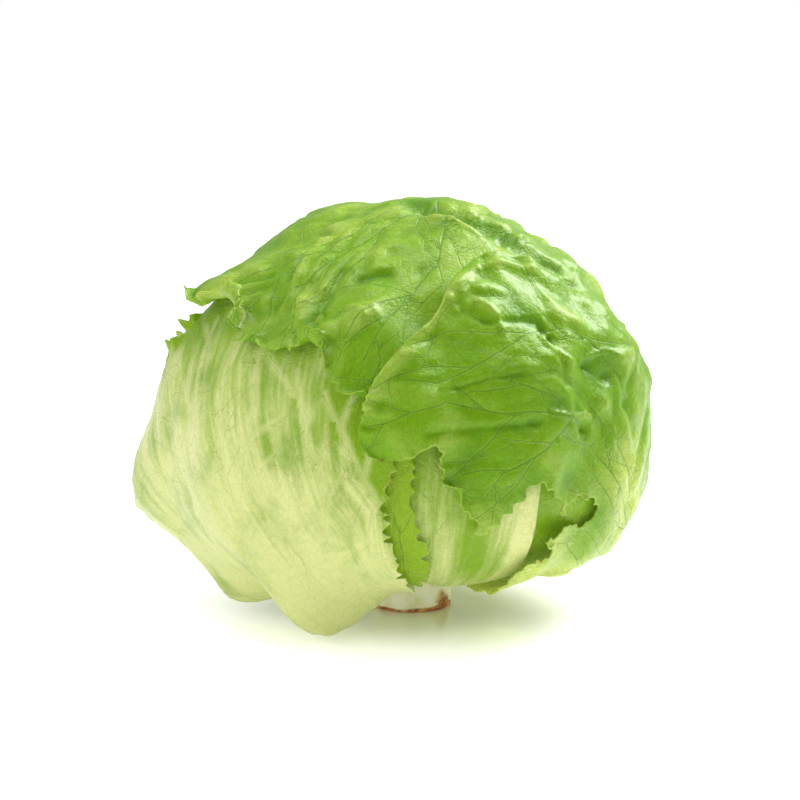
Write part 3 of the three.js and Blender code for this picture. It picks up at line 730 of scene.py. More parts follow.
    def grow_veins(self):
        """A tree of veins as segments with a width: midrib, side veins and their cross veins."""
        lines = [(even_steps(np.array(v, float), VEIN_STEP), 0) for v in [self.midrib, *self.branches]]
        seen = np.vstack([line for line, _ in lines])
        owner = np.concatenate([np.full(len(line), i) for i, (line, _) in enumerate(lines)])
        for level, rule in enumerate(VEIN_RULES):
            parents = [i for i, (_, grown) in enumerate(lines) if grown == level]
            for parent in parents:
                line = lines[parent][0]
                side = 1
                i = 1
                while True:
                    i += max(2, round(self.random.uniform(*rule["spacing"]) / VEIN_STEP))
                    if i > len(line) - 2:
                        break
                    side = -side
                    ahead = line[i + 1] - line[i - 1]
                    turn = math.radians(self.random.uniform(*rule["turn"])) * side
                    heading = math.atan2(ahead[1], ahead[0]) + turn
                    grown = self.grow_vein(line[i], heading, -turn * rule["bend"], rule, seen, owner, parent)
                    if len(grown) > SHORTEST_VEIN:
                        seen = np.vstack((seen, grown))
                        owner = np.concatenate((owner, np.full(len(grown), len(lines))))
                        lines.append((grown, level + 1))
        return lines

    def grow_vein(self, start, heading, bend, rule, seen, owner, parent):
        points = [start]
        for step in range(int(rule["reach"] / VEIN_STEP)):
            heading += bend + self.random.normal(0, rule["wobble"])
            squeeze = max(0.3, math.cos(math.radians(points[-1][0])))
            ahead = np.array((math.cos(heading), math.sin(heading) / squeeze))
            p = points[-1] + VEIN_STEP * ahead
            if self.depth(p[None])[0] < VEIN_INSET:
                break
            away = np.hypot(seen[:, 0] - p[0], (seen[:, 1] - p[1]) * squeeze)
            if step < VEIN_FREE_STEPS:
                away = np.where(owner == parent, np.inf, away)
            points.append(p)
            if away.min() < rule["merge"]:
                points.append(seen[np.argmin(away)])
                break
        return np.array(points)


# Meshes

FIRST_SEED = 11
SEED_STEP = 7
LEAF_ATTRIBUTES = ("green", "rib", "rib_away", "rib_width", "edge", "lift")
BOX_MARGIN = 0.15
BOX_SOFTNESS = 0.35
SCRAP_ROUNDS = 4
EVEN_ROUNDS = 3
STEEPEST = 0.2


def build_leaves(names, settings):
    """Grows all the leaves, since each rests on those inside it, and builds the named ones."""
    leaves = []
    for i, spec in enumerate(LEAVES):
        leaves.append(Leaf(spec, list(leaves), FIRST_SEED + SEED_STEP * i, settings))
    for i, leaf in enumerate(leaves):
        leaf.outer = leaves[i + 1:]
    unknown = set(names) - {leaf.name for leaf in leaves}
    if unknown:
        raise ValueError("no such leaves: " + ", ".join(sorted(unknown)))
    for leaf in leaves:
        if leaf.name in names:
            leaf_piece(leaf, settings)


def mesh_from(bm, name):
    mesh = bpy.data.meshes.new(name)
    bm.to_mesh(mesh)
    bm.free()
    return mesh


def smooth_piece(name, mesh, material):
    """Links a smoothly shaded object with one material, and refuses an empty one."""
    if not mesh.polygons:
        raise RuntimeError(name + " has no faces")
    mesh.shade_smooth()
    mesh.materials.append(material)
    piece = bpy.data.objects.new(name, mesh)
    bpy.context.scene.collection.objects.link(piece)
    return piece


def set_attributes(mesh, values, flow):
    """Stores what the leaf materials read: one value a point for each name, and the flow map."""
    for name in LEAF_ATTRIBUTES:
        attribute = mesh.attributes.new(name, "FLOAT", "POINT")
        attribute.data.foreach_set("value", values[name].astype(np.float32))
    corners = np.empty(len(mesh.loops), np.int32)
    mesh.loops.foreach_get("vertex_index", corners)
    layer = mesh.uv_layers.new(name="flow")
    layer.data.foreach_set("uv", flow[corners].astype(np.float32).ravel())


def chart_points(bm):
    return np.array([v.co[:2] for v in bm.verts])


def remove_vertices(bm, flags):
    bm.verts.ensure_lookup_table()
    bmesh.ops.delete(bm, geom=[bm.verts[i] for i in np.flatnonzero(flags)], context="VERTS")


def flat_blade(leaf):
    """A grid on the leaf's chart, trimmed to its toothed outline."""
    outline = leaf.toothed
    low = outline.min(axis=0) - leaf.grain
    high = outline.max(axis=0) + leaf.grain
    cells = np.ceil((high - low) / leaf.grain).astype(int)
    bm = bmesh.new()
    bmesh.ops.create_grid(bm, x_segments=cells[0], y_segments=cells[1], size=1)
    half = (high - low) / 2
    centre = (high + low) / 2
    bmesh.ops.scale(bm, vec=(half[0], half[1], 1), verts=bm.verts)
    bmesh.ops.translate(bm, vec=(centre[0], centre[1], 0), verts=bm.verts)
    remove_vertices(bm, leaf.depth(chart_points(bm)) < -FINE_BAND)
    near = np.abs(leaf.depth(chart_points(bm))) < FINE_BAND + leaf.teeth / 2
    bm.verts.index_update()
    edges = [e for e in bm.edges if near[e.verts[0].index] and near[e.verts[1].index]]
    bmesh.ops.subdivide_edges(bm, edges=edges, cuts=leaf.fine_cuts, use_grid_fill=True)
    points = chart_points(bm)
    close = np.flatnonzero(np.abs(leaf.depth(points)) < FINE_BAND + leaf.teeth)
    outside = leaf.depth(points) < 0
    outside[close] = ~inside_polygon(points[close], outline)
    remove_vertices(bm, outside)
    drop_scraps(bm)
    snap_border(bm, leaf)
    bmesh.ops.triangulate(bm, faces=[f for f in bm.faces if len(f.verts) > 4])
    return bm


def drop_scraps(bm):
    """Removes corners that hang on by one point or one edge."""
    for _ in range(SCRAP_ROUNDS):
        loose = [v for v in bm.verts if not v.link_faces or sum(e.is_boundary for e in v.link_edges) > 2]
        if not loose:
            return
        bmesh.ops.delete(bm, geom=loose, context="VERTS")


def snap_border(bm, leaf):
    """Moves the border onto the toothed outline, tips first, and evens out the rows behind it."""
    border = [v for v in bm.verts if v.is_boundary]
    at = np.array([v.co[:2] for v in border])
    outline = leaf.toothed
    _, _, nearest = to_segments(at, outline, np.roll(outline, -1, axis=0))
    for tip in leaf.tips:
        away = np.hypot(*(at - tip).T)
        i = np.argmin(away)
        if away[i] < leaf.grain / leaf.fine_cuts:
            nearest[i] = tip
    for v, p in zip(border, nearest):
        v.co.x, v.co.y = p
    rows = {w for v in border for e in v.link_edges for w in e.verts if not w.is_boundary}
    rows |= {w for v in rows for e in v.link_edges for w in e.verts if not w.is_boundary}
    for _ in range(EVEN_ROUNDS):
        bmesh.ops.smooth_vert(bm, verts=list(rows), factor=0.5, use_axis_x=True, use_axis_y=True)


def leaf_piece(leaf, settings):
    bm = flat_blade(leaf)
    points = chart_points(bm)
    name = leaf.name + "_blade"
    mesh = mesh_from(bm, name)
    form = shape_blade(leaf, points, settings)
    mesh.vertices.foreach_set("co", (form["place"] * MM).astype(np.float32).ravel())
    set_attributes(mesh, form, form["flow"])
    mesh.update()
    piece = smooth_piece(name, mesh, leaf_material(leaf.slot, settings))
    group = piece.vertex_groups.new(name="thickness")
    for i, share in enumerate(form["thickness"] / THICKEST):
        group.add([i], float(share), "REPLACE")
    wall = piece.modifiers.new("Blade thickness", "SOLIDIFY")
    wall.thickness = THICKEST * MM
    wall.offset = -1
    wall.vertex_group = group.name
    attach(piece, BODY)
    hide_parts(leaf.name)


def shape_blade(leaf, points, settings):
    """Places in millimetres for points of the leaf's chart, and what its material reads."""
    d = leaf.to_direction(points)
    open_air = leaf.openness(d)
    rest = leaf.rest_radius(d) + leaf.swell(d)
    thick = leaf.thickness(d)
    outline = leaf.toothed
    depth = leaf.depth(points)
    near = np.flatnonzero(depth < EDGE_ZONE)
    edge = np.full(len(points), FAR)
    along = np.zeros(len(points))
    away, at = nearest_segments(points[near], outline, np.roll(outline, -1, axis=0))
    degree_mm = np.radians(1) * rest
    edge[near] = np.abs(away) * degree_mm[near]
    along[near] = at * OUTLINE_STEP
    rib, rib_width, pillow_rib = vein_distance(leaf, points, degree_mm)
    on_head = d * rest[:, None]
    line = leaf.rib_line
    across, run, _ = to_segments(points, line[:-1], line[1:])
    run = np.interp(run, np.arange(len(line)), run_along(line))
    flow = np.column_stack((across / (run + FLOW_START), run / FLOW_LENGTH))
    lift = blisters(leaf, points, on_head, pillow_rib, flow) * settings.blister_height / MM
    lift = lift + hand_relief(leaf, points, degree_mm)
    wave = edge_wave(leaf, along, depth, on_head)
    waving = ruffles(leaf, points, on_head) * open_air + frills(leaf, points) * leaf.bareness(d)
    radius = rest + thick + lift * open_air + wave * waving
    thin = lerp(THIN_SHARE, 1, smoothstep(0, THIN_ZONE, depth))
    points, rise = rolled(leaf, points, depth, degree_mm)
    return {
        "place": inside_box(leaf.to_direction(points), radius + rise),
        "thickness": np.clip(thick * thin, THINNEST, THICKEST),
        "green": greenness(leaf, points, d, across, run, on_head),
        "rib": rib,
        "rib_away": np.abs(rib),
        "rib_width": rib_width,
        "edge": edge,
        "lift": lift * open_air,
        "flow": flow,
    }


def inside_box(d, radius):
    """Places along directions from the middle, eased back wherever they would leave the box."""
    low = np.array(CAD_BOX[0]) / MM - MIDDLE + BOX_MARGIN
    high = np.array(CAD_BOX[1]) / MM - MIDDLE - BOX_MARGIN
    wall = np.where(d > 0, high, low)
    reach = np.min(np.abs(wall) / np.maximum(np.abs(d), 1e-6), axis=1)
    eased = reach - BOX_SOFTNESS * np.logaddexp(0, (reach - radius) / BOX_SOFTNESS)
    return d * eased[:, None] + MIDDLE


def rolled(leaf, points, depth, degree_mm):
    """Rolls stretches of the margin back over the blade: moved points, and how far they rise."""
    rise = np.zeros(len(points))
    shift = np.zeros(len(points))
    squeeze = narrowing(points)
    inset = depth * degree_mm
    for *place, stretch, length, radius in leaf.curls:
        free = np.maximum(length * nearness(points, place, stretch, squeeze) - inset, 0)
        turn = free / radius
        rise = np.maximum(rise, radius * (1 - np.cos(turn)))
        shift = np.maximum(shift, free - radius * np.sin(turn))
    step = np.array(((0.5, 0), (0, 0.5)))
    slope = np.column_stack([leaf.depth(points + h) - leaf.depth(points - h) for h in step])
    stretch = np.maximum(squeeze, STEEPEST)
    slope[:, 1] /= stretch
    slope /= np.linalg.norm(slope, axis=1, keepdims=True) + 1e-6
    inward = slope * (shift / degree_mm)[:, None]
    inward[:, 1] /= stretch
    return points + inward, rise


def vein_distance(leaf, points, degree_mm):
    """Signed distance to the nearest vein, its width, and the distance to the nearest strong vein,
    all in millimetres."""
    lines = leaf.grow_veins()
    start = np.vstack([line[:-1] for line, _ in lines])
    end = np.vstack([line[1:] for line, _ in lines])
    levels = np.concatenate([np.full(len(line) - 1, level) for line, level in lines])
    widths = []
    for line, level in lines:
        wide, narrow = VEIN_WIDTHS[level]
        widths.append(np.linspace(wide, narrow, len(line) - 1))
    widths = np.concatenate(widths)
    away, nearest = nearest_segments(points, start, end)
    strong = levels <= PILLOW_VEINS
    strong_away, _ = nearest_segments(points, start[strong], end[strong])
    return away * degree_mm, widths[nearest] * leaf.vein_size, np.abs(strong_away) * degree_mm


def blisters(leaf, points, on_head, rib, flow):
    """Quilted swellings between the veins, with finer crumples over them."""
    pillow = 1 - np.exp(-((rib / PILLOW_HALF_WIDTH) ** 2))
    least, swing, size = PILLOW_SWING
    height = PILLOW_HEIGHT * pillow * (least + swing * noise(on_head, size, leaf.seed))
    for i, (size, share) in enumerate(CRUMPLES):
        height = height + share * noise(on_head, size, leaf.seed + 1 + i)
    folds = noise(np.column_stack((flow * leaf.fold_scale, np.zeros(len(flow)))), 1, leaf.seed + 6)
    return leaf.blister * smoothstep(*BLISTER_START, points[:, 1]) * height + leaf.fold * folds


def hand_relief(leaf, points, degree_mm):
    """Creases along paths and round pits or bumps, seen in the photo or like those seen there."""
    total = np.zeros(len(points))
    for path, width, height in leaf.creases:
        line = spline(path, CREASE_STEP)
        away, _, _ = to_segments(points, line[:-1], line[1:])
        away = away * degree_mm / width
        total += height * np.exp(-away * away)
    squeeze = narrowing(points)
    for *place, size, height in leaf.spots:
        total += height * nearness(points, place, size / degree_mm, squeeze)
    return total


def edge_wave(leaf, along, depth, on_head):
    """Uneven waves along the margin that die out inwards."""
    high, pace = DRIFT
    rough, size = DRIFT_NOISE
    drift = high * np.sin(along * pace) + rough * noise(on_head, size, leaf.seed + 4)
    wave = WAVE_MEAN + sum(high * np.sin(along * pace + turns * drift) for pace, high, turns in WAVES)
    return wave * np.exp(-np.maximum(depth, 0) / WAVE_REACH)


def ruffles(leaf, points, on_head):
    mean, swing, size = RUFFLE_NOISE
    height = mean + swing * noise(on_head, size, leaf.seed + 8)
    return leaf.ruffle * height * smoothstep(*RUFFLE_START, points[:, 1])


def frills(leaf, points):
    """Extra height of the waves round chosen points of the margin."""
    squeeze = narrowing(points)
    height = np.zeros(len(points))
    for *place, stretch, extra in leaf.frills:
        height += extra * nearness(points, place, stretch, squeeze)
    return height


def greenness(leaf, points, d, across, run, on_head):
    start, end, most = leaf.green
    green = most * smoothstep(start, end, angle_from_stem(d))
    pale_rib = np.exp(-((across / PALE_RIB) ** 2)) * (1 - smoothstep(*PALE_RIB_ENDS, run))
    green = green * (1 - PALE_RIB_SHARE * pale_rib) + leaf.gaussians(points, leaf.tints)
    return np.clip(green + MOTTLE_SHARE * noise(on_head, MOTTLE_SIZE, leaf.seed + 5), 0, 1)


# Materials

# Surfaces of the leaves and of the stem. The leaves' glow stands for light that comes through from behind,
# as a share of the colour; the stem's glow is painted light that lifts it out of its shade. A bump is a
# strength and a distance in metres.
LEAF_SURFACE = {
    "Specular IOR Level": 0.35,
    "Specular Tint": (0.9, 1.0, 0.45, 1.0),
    "Emission Strength": 0.13,
    "Coat Weight": 0.2,
    "Coat Roughness": 0.22,
    "Subsurface Weight": 0.15,
    "Subsurface Radius": (0.6, 1.0, 0.15),
    "Subsurface Scale": 0.0012,
}
LEAF_BUMP = (0.8, 0.0011)
STEM_SURFACE = {"Emission Strength": 0.2, "Subsurface Weight": 0.15, "Subsurface Scale": 0.003}
STEM_BUMP = (0.6, 0.0008)
DRIED_EDGE = (0.60, 0.46, 0.16)
RUST_PATCH = (0.0115, -0.0085, 0.0025)


class Graph:
    """Short ways of adding nodes to a tree."""

    def __init__(self, tree):
        self.tree = tree

    def add(self, kind, **settings):
        node = self.tree.nodes.new(kind)
        for name, value in settings.items():
            setattr(node, name, value)
        return node

    def feed(self, socket, value):
        if isinstance(value, bpy.types.NodeSocket):
            self.tree.links.new(value, socket)
        else:
            socket.default_value = value

    def math(self, operation, a, b=0.0, clamp=False):
        node = self.add("ShaderNodeMath", operation=operation, use_clamp=clamp)
        self.feed(node.inputs[0], a)
        self.feed(node.inputs[1], b)
        return node.outputs[0]

    def ramp(self, value, low, high, at_low=0.0, at_high=1.0):
        node = self.add("ShaderNodeMapRange", interpolation_type="SMOOTHSTEP")
        names = ("Value", "From Min", "From Max", "To Min", "To Max")
        for name, given in zip(names, (value, low, high, at_low, at_high)):
            self.feed(node.inputs[name], given)
        return node.outputs[0]

    def mix(self, factor, a, b, blend="MIX"):
        node = self.add("ShaderNodeMix", data_type="RGBA", blend_type=blend)
        self.feed(node.inputs[0], factor)
        self.feed(node.inputs[6], a)
        self.feed(node.inputs[7], b)
        return node.outputs[2]

    def vector(self, operation, a, b=None, c=None):
        node = self.add("ShaderNodeVectorMath", operation=operation)
        for socket, value in zip(node.inputs, (a, b, c)):
            if value is not None:
                self.feed(socket, value)
        return node.outputs

    def bump(self, height, strength, distance):
        node = self.add("ShaderNodeBump")
        for name, value in (("Strength", strength), ("Distance", distance), ("Height", height)):
            self.feed(node.inputs[name], value)
        return node.outputs["Normal"]

    def attribute(self, name):
        return self.add("ShaderNodeAttribute", attribute_name=name).outputs["Fac"]

    def noise(self, where, scale, detail=2.0, rough=0.5, output="Fac"):
        node = self.add("ShaderNodeTexNoise")
        names = ("Vector", "Scale", "Detail", "Roughness")
        for name, given in zip(names, (where, scale, detail, rough)):
            self.feed(node.inputs[name], given)
        return node.outputs[output]

    def cells(self, where, scale):
        """Distance to the borders of a net of cells."""
        node = self.add("ShaderNodeTexVoronoi", feature="DISTANCE_TO_EDGE")
        self.feed(node.inputs["Vector"], where)
        self.feed(node.inputs["Scale"], scale)
        return node.outputs["Distance"]


def linear(colour):
    """Display colour to the linear colour with alpha that sockets hold."""
    return tuple(c / 12.92 if c <= 0.04045 else ((c + 0.055) / 1.055) ** 2.4 for c in colour) + (1.0,)


def set_inputs(node, values):
    for name, value in values.items():
        node.inputs[name].default_value = value


def leaf_skin():
    """Shared colours and relief of a lettuce blade: streaks, veins and net, with painted shade in the
    hollows, painted light on the raised parts and a painted highlight along the margin.
    """
    if "Leaf skin" in bpy.data.node_groups:
        return bpy.data.node_groups["Leaf skin"]
    group = bpy.data.node_groups.new("Leaf skin", "ShaderNodeTree")
    for way, kind, names in (
        ("INPUT", "NodeSocketColor", ("Pale", "Green", "Deep")),
        ("INPUT", "NodeSocketFloat", ("Streaks", "Lines", "Ribs")),
        ("OUTPUT", "NodeSocketColor", ("Color",)),
        ("OUTPUT", "NodeSocketFloat", ("Roughness", "Height")),
    ):
        for name in names:
            group.interface.new_socket(name, in_out=way, socket_type=kind)
    g = Graph(group)
    given = g.add("NodeGroupInput").outputs
    out = g.add("NodeGroupOutput").inputs
    where = g.add("ShaderNodeTexCoord").outputs["Object"]
    flow = g.add("ShaderNodeUVMap", uv_map="flow").outputs["UV"]
    streak = g.noise(g.vector("MULTIPLY", flow, (22, 1.8, 1))[0], 1.0, 3.0, 0.5)
    hair = g.noise(g.vector("MULTIPLY", flow, (90, 5, 1))[0], 1.0, 2.0, 0.5)
    broad = g.noise(where, 60.0, 4.0)
    fine = g.noise(where, 900.0, 4.0, 0.7)
    lift = g.attribute("lift")
    green = g.attribute("green")
    hair_share = g.math("MULTIPLY", given["Streaks"], 0.45)
    for pattern, share in ((streak, given["Streaks"]), (hair, hair_share), (broad, 0.5), (fine, 0.3)):
        green = g.math("ADD", green, g.math("MULTIPLY", g.math("SUBTRACT", pattern, 0.5), share))
    base = g.mix(g.ramp(green, 0.0, 0.8), given["Pale"], given["Green"])
    # Painted shade: the colour turns towards the deep green where the blade sinks between its swellings.
    hollow_shade = g.math("MULTIPLY", g.ramp(lift, -1.5, 0.3, 0.75, 0.0), g.ramp(green, 0.2, 0.7))
    base = g.mix(hollow_shade, base, given["Deep"])
    base = g.mix(g.ramp(broad, 0.5, 0.75, 0.0, 0.4), base, given["Deep"])
    # Painted light: raised parts of the blade are paled towards the base colour.
    base = g.mix(g.ramp(lift, 0.4, 2.2, 0.0, 0.3), base, given["Pale"])

    rib = g.math("ABSOLUTE", g.attribute("rib"))
    share = g.math("DIVIDE", rib, g.attribute("rib_width"))
    true_vein = g.ramp(g.attribute("rib_away"), 0.5, 0.85, 1.0, 0.0)
    line = g.math("MULTIPLY", g.ramp(share, 0.35, 1.1, 1.0, 0.0), true_vein)
    main = g.math("MULTIPLY", g.ramp(g.attribute("rib_width"), 0.2, 0.3), given["Ribs"])
    main = g.math("MULTIPLY", main, g.ramp(g.attribute("rib_away"), 0.1, 2.4, 1.0, 0.0))
    line = g.math("MULTIPLY", line, g.math("SUBTRACT", 1.0, main, clamp=True))
    line = g.math("MULTIPLY", line, g.ramp(g.attribute("green"), 0.0, 0.4, 0.3, 1.0))
    halo = g.math("MULTIPLY", g.ramp(share, 0.8, 3.5, 1.0, 0.0), true_vein)
    wander = g.noise(where, 200.0, output="Color")
    net = g.cells(g.vector("MULTIPLY_ADD", wander, (0.0016, 0.0016, 0.0016), where)[0], 330.0)
    net_line = g.math("MULTIPLY", g.ramp(net, 0.0, 0.07, 1.0, 0.0), 0.5)
    base = g.mix(g.math("MULTIPLY", halo, 0.12), base, given["Pale"])
    base = g.mix(g.math("MULTIPLY", main, 0.75), base, given["Pale"])
    base = g.mix(g.math("MULTIPLY", net_line, given["Lines"]), base, given["Deep"])
    base = g.mix(g.math("MULTIPLY", line, given["Lines"]), base, given["Deep"])
    edge = g.attribute("edge")
    # Painted highlight: a pale rim along the margin, broken up by slow noise.
    rim = g.math("MULTIPLY", g.ramp(edge, 0.1, 0.7, 1.0, 0.0), g.ramp(broad, 0.45, 0.6, 0.05, 0.35))
    base = g.mix(rim, base, given["Pale"])
    blot = g.ramp(g.noise(where, 75.0, 5.0, 0.7), 0.6, 0.68)
    speck = g.math("MULTIPLY", g.ramp(edge, 0.2, 1.3, 1.0, 0.0), blot)
    base = g.mix(g.math("MULTIPLY", speck, 0.75), base, linear(DRIED_EDGE))
    g.feed(out["Color"], base)
    g.feed(out["Roughness"], g.ramp(fine, 0.25, 0.75, 0.24, 0.42))
    height = g.math("SUBTRACT", g.math("MULTIPLY", fine, 0.5), g.math("MULTIPLY", line, 0.25))
    height = g.math("ADD", height, g.math("MULTIPLY", g.ramp(net, 0.0, 0.25), 0.1))
    height = g.math("ADD", height, g.math("MULTIPLY", hair, 0.3))
    g.feed(out["Height"], height)
    return group


def finished_material(name):
    material = bpy.data.materials.new(name)
    material.use_nodes = True
    g = Graph(material.node_tree)
    shader = material.node_tree.nodes["Principled BSDF"]
    return material, g, shader


def leaf_material(slot, settings):
    name = slot.replace("_", " ").capitalize()
    if name in bpy.data.materials:
        return bpy.data.materials[name]
    material, g, shader = finished_material(name)
    skin = g.add("ShaderNodeGroup", node_tree=leaf_skin())
    for shade in ("pale", "green", "deep"):
        skin.inputs[shade.capitalize()].default_value = linear(getattr(settings, slot + "_" + shade))
    set_inputs(skin, FINISHES[slot])
    g.feed(shader.inputs["Base Color"], skin.outputs["Color"])
    g.feed(shader.inputs["Roughness"], skin.outputs["Roughness"])
    g.feed(shader.inputs["Normal"], g.bump(skin.outputs["Height"], *LEAF_BUMP))
    g.feed(shader.inputs["Emission Color"], skin.outputs["Color"])
    set_inputs(shader, LEAF_SURFACE)
    return material


def stem_material(settings):
    material, g, shader = finished_material("Cut stem")
    where = g.add("ShaderNodeTexCoord").outputs["Object"]
    grain = g.noise(where, 260.0, 4.0, 0.6)
    blot = g.noise(where, 90.0, 3.0)
    split = g.add("ShaderNodeSeparateXYZ")
    g.feed(split.inputs[0], where)
    low = g.ramp(split.outputs["Z"], 0.0004, 0.0026, 1.0, 0.0)
    from_patch = g.vector("DISTANCE", where, RUST_PATCH)["Value"]
    spread = g.math("ADD", low, g.ramp(from_patch, 0.001, 0.0075, 0.7, 0.0))
    rust = g.ramp(g.math("ADD", spread, g.math("MULTIPLY", g.math("SUBTRACT", blot, 0.5), 1.8)), 0.35, 0.85)
    pale = g.mix(g.ramp(grain, 0.3, 0.7), linear(settings.stem_pale), linear(settings.stem_fibre))
    brown = g.mix(g.ramp(grain, 0.35, 0.7), linear(settings.stem_tan), linear(settings.stem_rust))
    flesh = g.mix(rust, pale, brown)
    g.feed(shader.inputs["Base Color"], flesh)
    # Painted light: the stem glows with its own colour to lift it out of its shade.
    g.feed(shader.inputs["Emission Color"], flesh)
    g.feed(shader.inputs["Roughness"], g.ramp(grain, 0.2, 0.8, 0.45, 0.7))
    g.feed(shader.inputs["Normal"], g.bump(grain, *STEM_BUMP))
    set_inputs(shader, STEM_SURFACE)
    return material


def floor_material(settings):
    material, g, shader = finished_material("Glossy floor")
    shader.inputs["Base Color"].default_value = linear(settings.floor_colour)
    shader.inputs["Roughness"].default_value = 0.12
    from_below = g.add("ShaderNodeNewGeometry").outputs["Backfacing"]
    g.feed(shader.inputs["Alpha"], g.math("SUBTRACT", 1.0, from_below))
    # Painted shadow: the floor's glow is dimmed close to the head and rises to full further out.
    away = g.vector("LENGTH", g.add("ShaderNodeTexCoord").outputs["Object"])["Value"]
    glow = g.ramp(away, *PAINTED_SHADOW_FADES, *FLOOR_GLOW)
    g.feed(shader.inputs["Emission Color"], g.mix(glow, (0, 0, 0, 1), (1, 1, 1, 1)))
    seen = g.add("ShaderNodeLightPath").outputs["Is Camera Ray"]
    g.feed(shader.inputs["Emission Strength"], g.ramp(seen, 0.0, 1.0, FLOOR_BOUNCE, 1.0))
    return material


# Pieces


STEM_TURNS = 96
STEM_CUTS = 4

# Ridges of the stem: height, squeeze upwards, size and seed; they start above the cut
STEM_RIDGES = [(0.7, 0.35, 4.5, 3), (0.35, 1, 2.2, 4)]
STEM_SHRINK = 0.6
RIDGES_START = (0.2, 1.6)


def spun_stem():
    bm = bmesh.new()
    ring = [bm.verts.new((r * MM, 0, z * MM)) for r, z in STEM_PROFILE]
    edges = [bm.edges.new(pair) for pair in zip(ring[:-1], ring[1:])]
    bmesh.ops.spin(
        bm, geom=ring + edges, cent=(0, 0, 0), axis=(0, 0, 1), dvec=(0, 0, 0), angle=2 * math.pi,
        steps=STEM_TURNS, use_merge=True, use_duplicate=False,
    )
    bmesh.ops.remove_doubles(bm, verts=bm.verts, dist=1e-6)
    long_edges = [e for e in bm.edges if abs(e.verts[0].co.z - e.verts[1].co.z) > 0.0005]
    bmesh.ops.subdivide_edges(bm, edges=long_edges, cuts=STEM_CUTS, use_grid_fill=True)
    bmesh.ops.recalc_face_normals(bm, faces=bm.faces)
    return bm


def stem_piece(settings):
    bm = spun_stem()
    places = np.array([v.co[:] for v in bm.verts]) / MM
    ridges = sum(high * noise(places * (1, 1, up), size, seed) for high, up, size, seed in STEM_RIDGES)
    keep = smoothstep(*RIDGES_START, places[:, 2])
    for v, ridge, share in zip(bm.verts, ridges, keep):
        flat = math.hypot(v.co.x, v.co.y)
        if flat > 1e-6:
            grow = 1 + (ridge - STEM_SHRINK) * share * MM / flat
            v.co.x *= grow
            v.co.y *= grow
    piece = smooth_piece("cut_stem", mesh_from(bm, "cut_stem"), stem_material(settings))
    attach(piece, BODY)
    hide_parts("stem")


HEART_GAP = 0.9
HEART_STEP = 0.7
HEART_LEAVES = 7
HEART_LOWEST = -10
HEART_RISE = 7
HEART_LEAF_EDGE = (50, 58)
HEART_DEEPEST_LAYER = 3
HEART_RADIUS = 70
HEART_UNEVEN = 0.4
HEART_VEIN = 0.3
HEART_SEED = 50
GOLDEN_TURN = 137.5


def heart_piece(settings):
    """The ball of tightly folded leaves, with their edges standing up one over the other."""
    bm = bmesh.new()
    bmesh.ops.create_icosphere(bm, subdivisions=6, radius=1)
    d = np.array([v.co[:] for v in bm.verts])
    d /= np.linalg.norm(d, axis=1, keepdims=True)
    layers = 0
    for i in range(HEART_LEAVES):
        away = angle_between(d, direction(i * GOLDEN_TURN, HEART_LOWEST + HEART_RISE * i))
        wander = 2 * noise(d * HEART_RADIUS, 9, HEART_SEED + i)
        layers = layers + 1 - smoothstep(*HEART_LEAF_EDGE, away + wander)
    radius = bed_radius(d) - HEART_GAP - HEART_STEP * np.maximum(0, HEART_DEEPEST_LAYER - layers)
    radius = radius - HEART_UNEVEN * (1 + noise(d * HEART_RADIUS, 12, HEART_SEED + 10))
    for v, way, reach in zip(bm.verts, d, radius):
        v.co = Vector((way * reach + MIDDLE) * MM)
    mesh = mesh_from(bm, "heart_leaves")
    far = np.full(len(d), FAR)
    values = {
        "green": np.clip(0.3 + 0.3 * d[:, 2], 0, 1),
        "rib": far,
        "rib_away": far,
        "rib_width": np.full(len(d), HEART_VEIN),
        "edge": far,
        "lift": np.zeros(len(d)),
    }
    set_attributes(mesh, values, np.column_stack((np.arctan2(d[:, 1], d[:, 0]), d[:, 2])))
    piece = smooth_piece("heart_leaves", mesh, leaf_material("inner_leaf", settings))
    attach(piece, BODY)
    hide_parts("heart")


# Stage

CAMERA_TARGET = Vector((-4, 0, 72)) * MM
CAMERA_DISTANCE = 950 * MM
CAMERA_ELEVATION = math.radians(10)
CAMERA_LENS = 124
SKY_LIGHT = 0.33
# Floor glow close to the head and far off, and the distances between which it rises: the dimmer floor round
# the head is a painted shadow.
FLOOR_GLOW = (0.04, 0.85)
FLOOR_BOUNCE = 0.36
PAINTED_SHADOW_FADES = (0.018, 0.1)
FLOOR_HALF_SIDE = 6
FLOOR_HEIGHT = -0.0002

# Name, place, width and power of each lamp
LAMPS = [
    ("key_light", (0.6, 0.42, 0.75), 0.55, 13),
    ("top_light", (-0.2, 0.0, 1.1), 0.5, 4),
    ("fill_light", (-0.9, -0.6, 0.5), 0.8, 3.5),
]


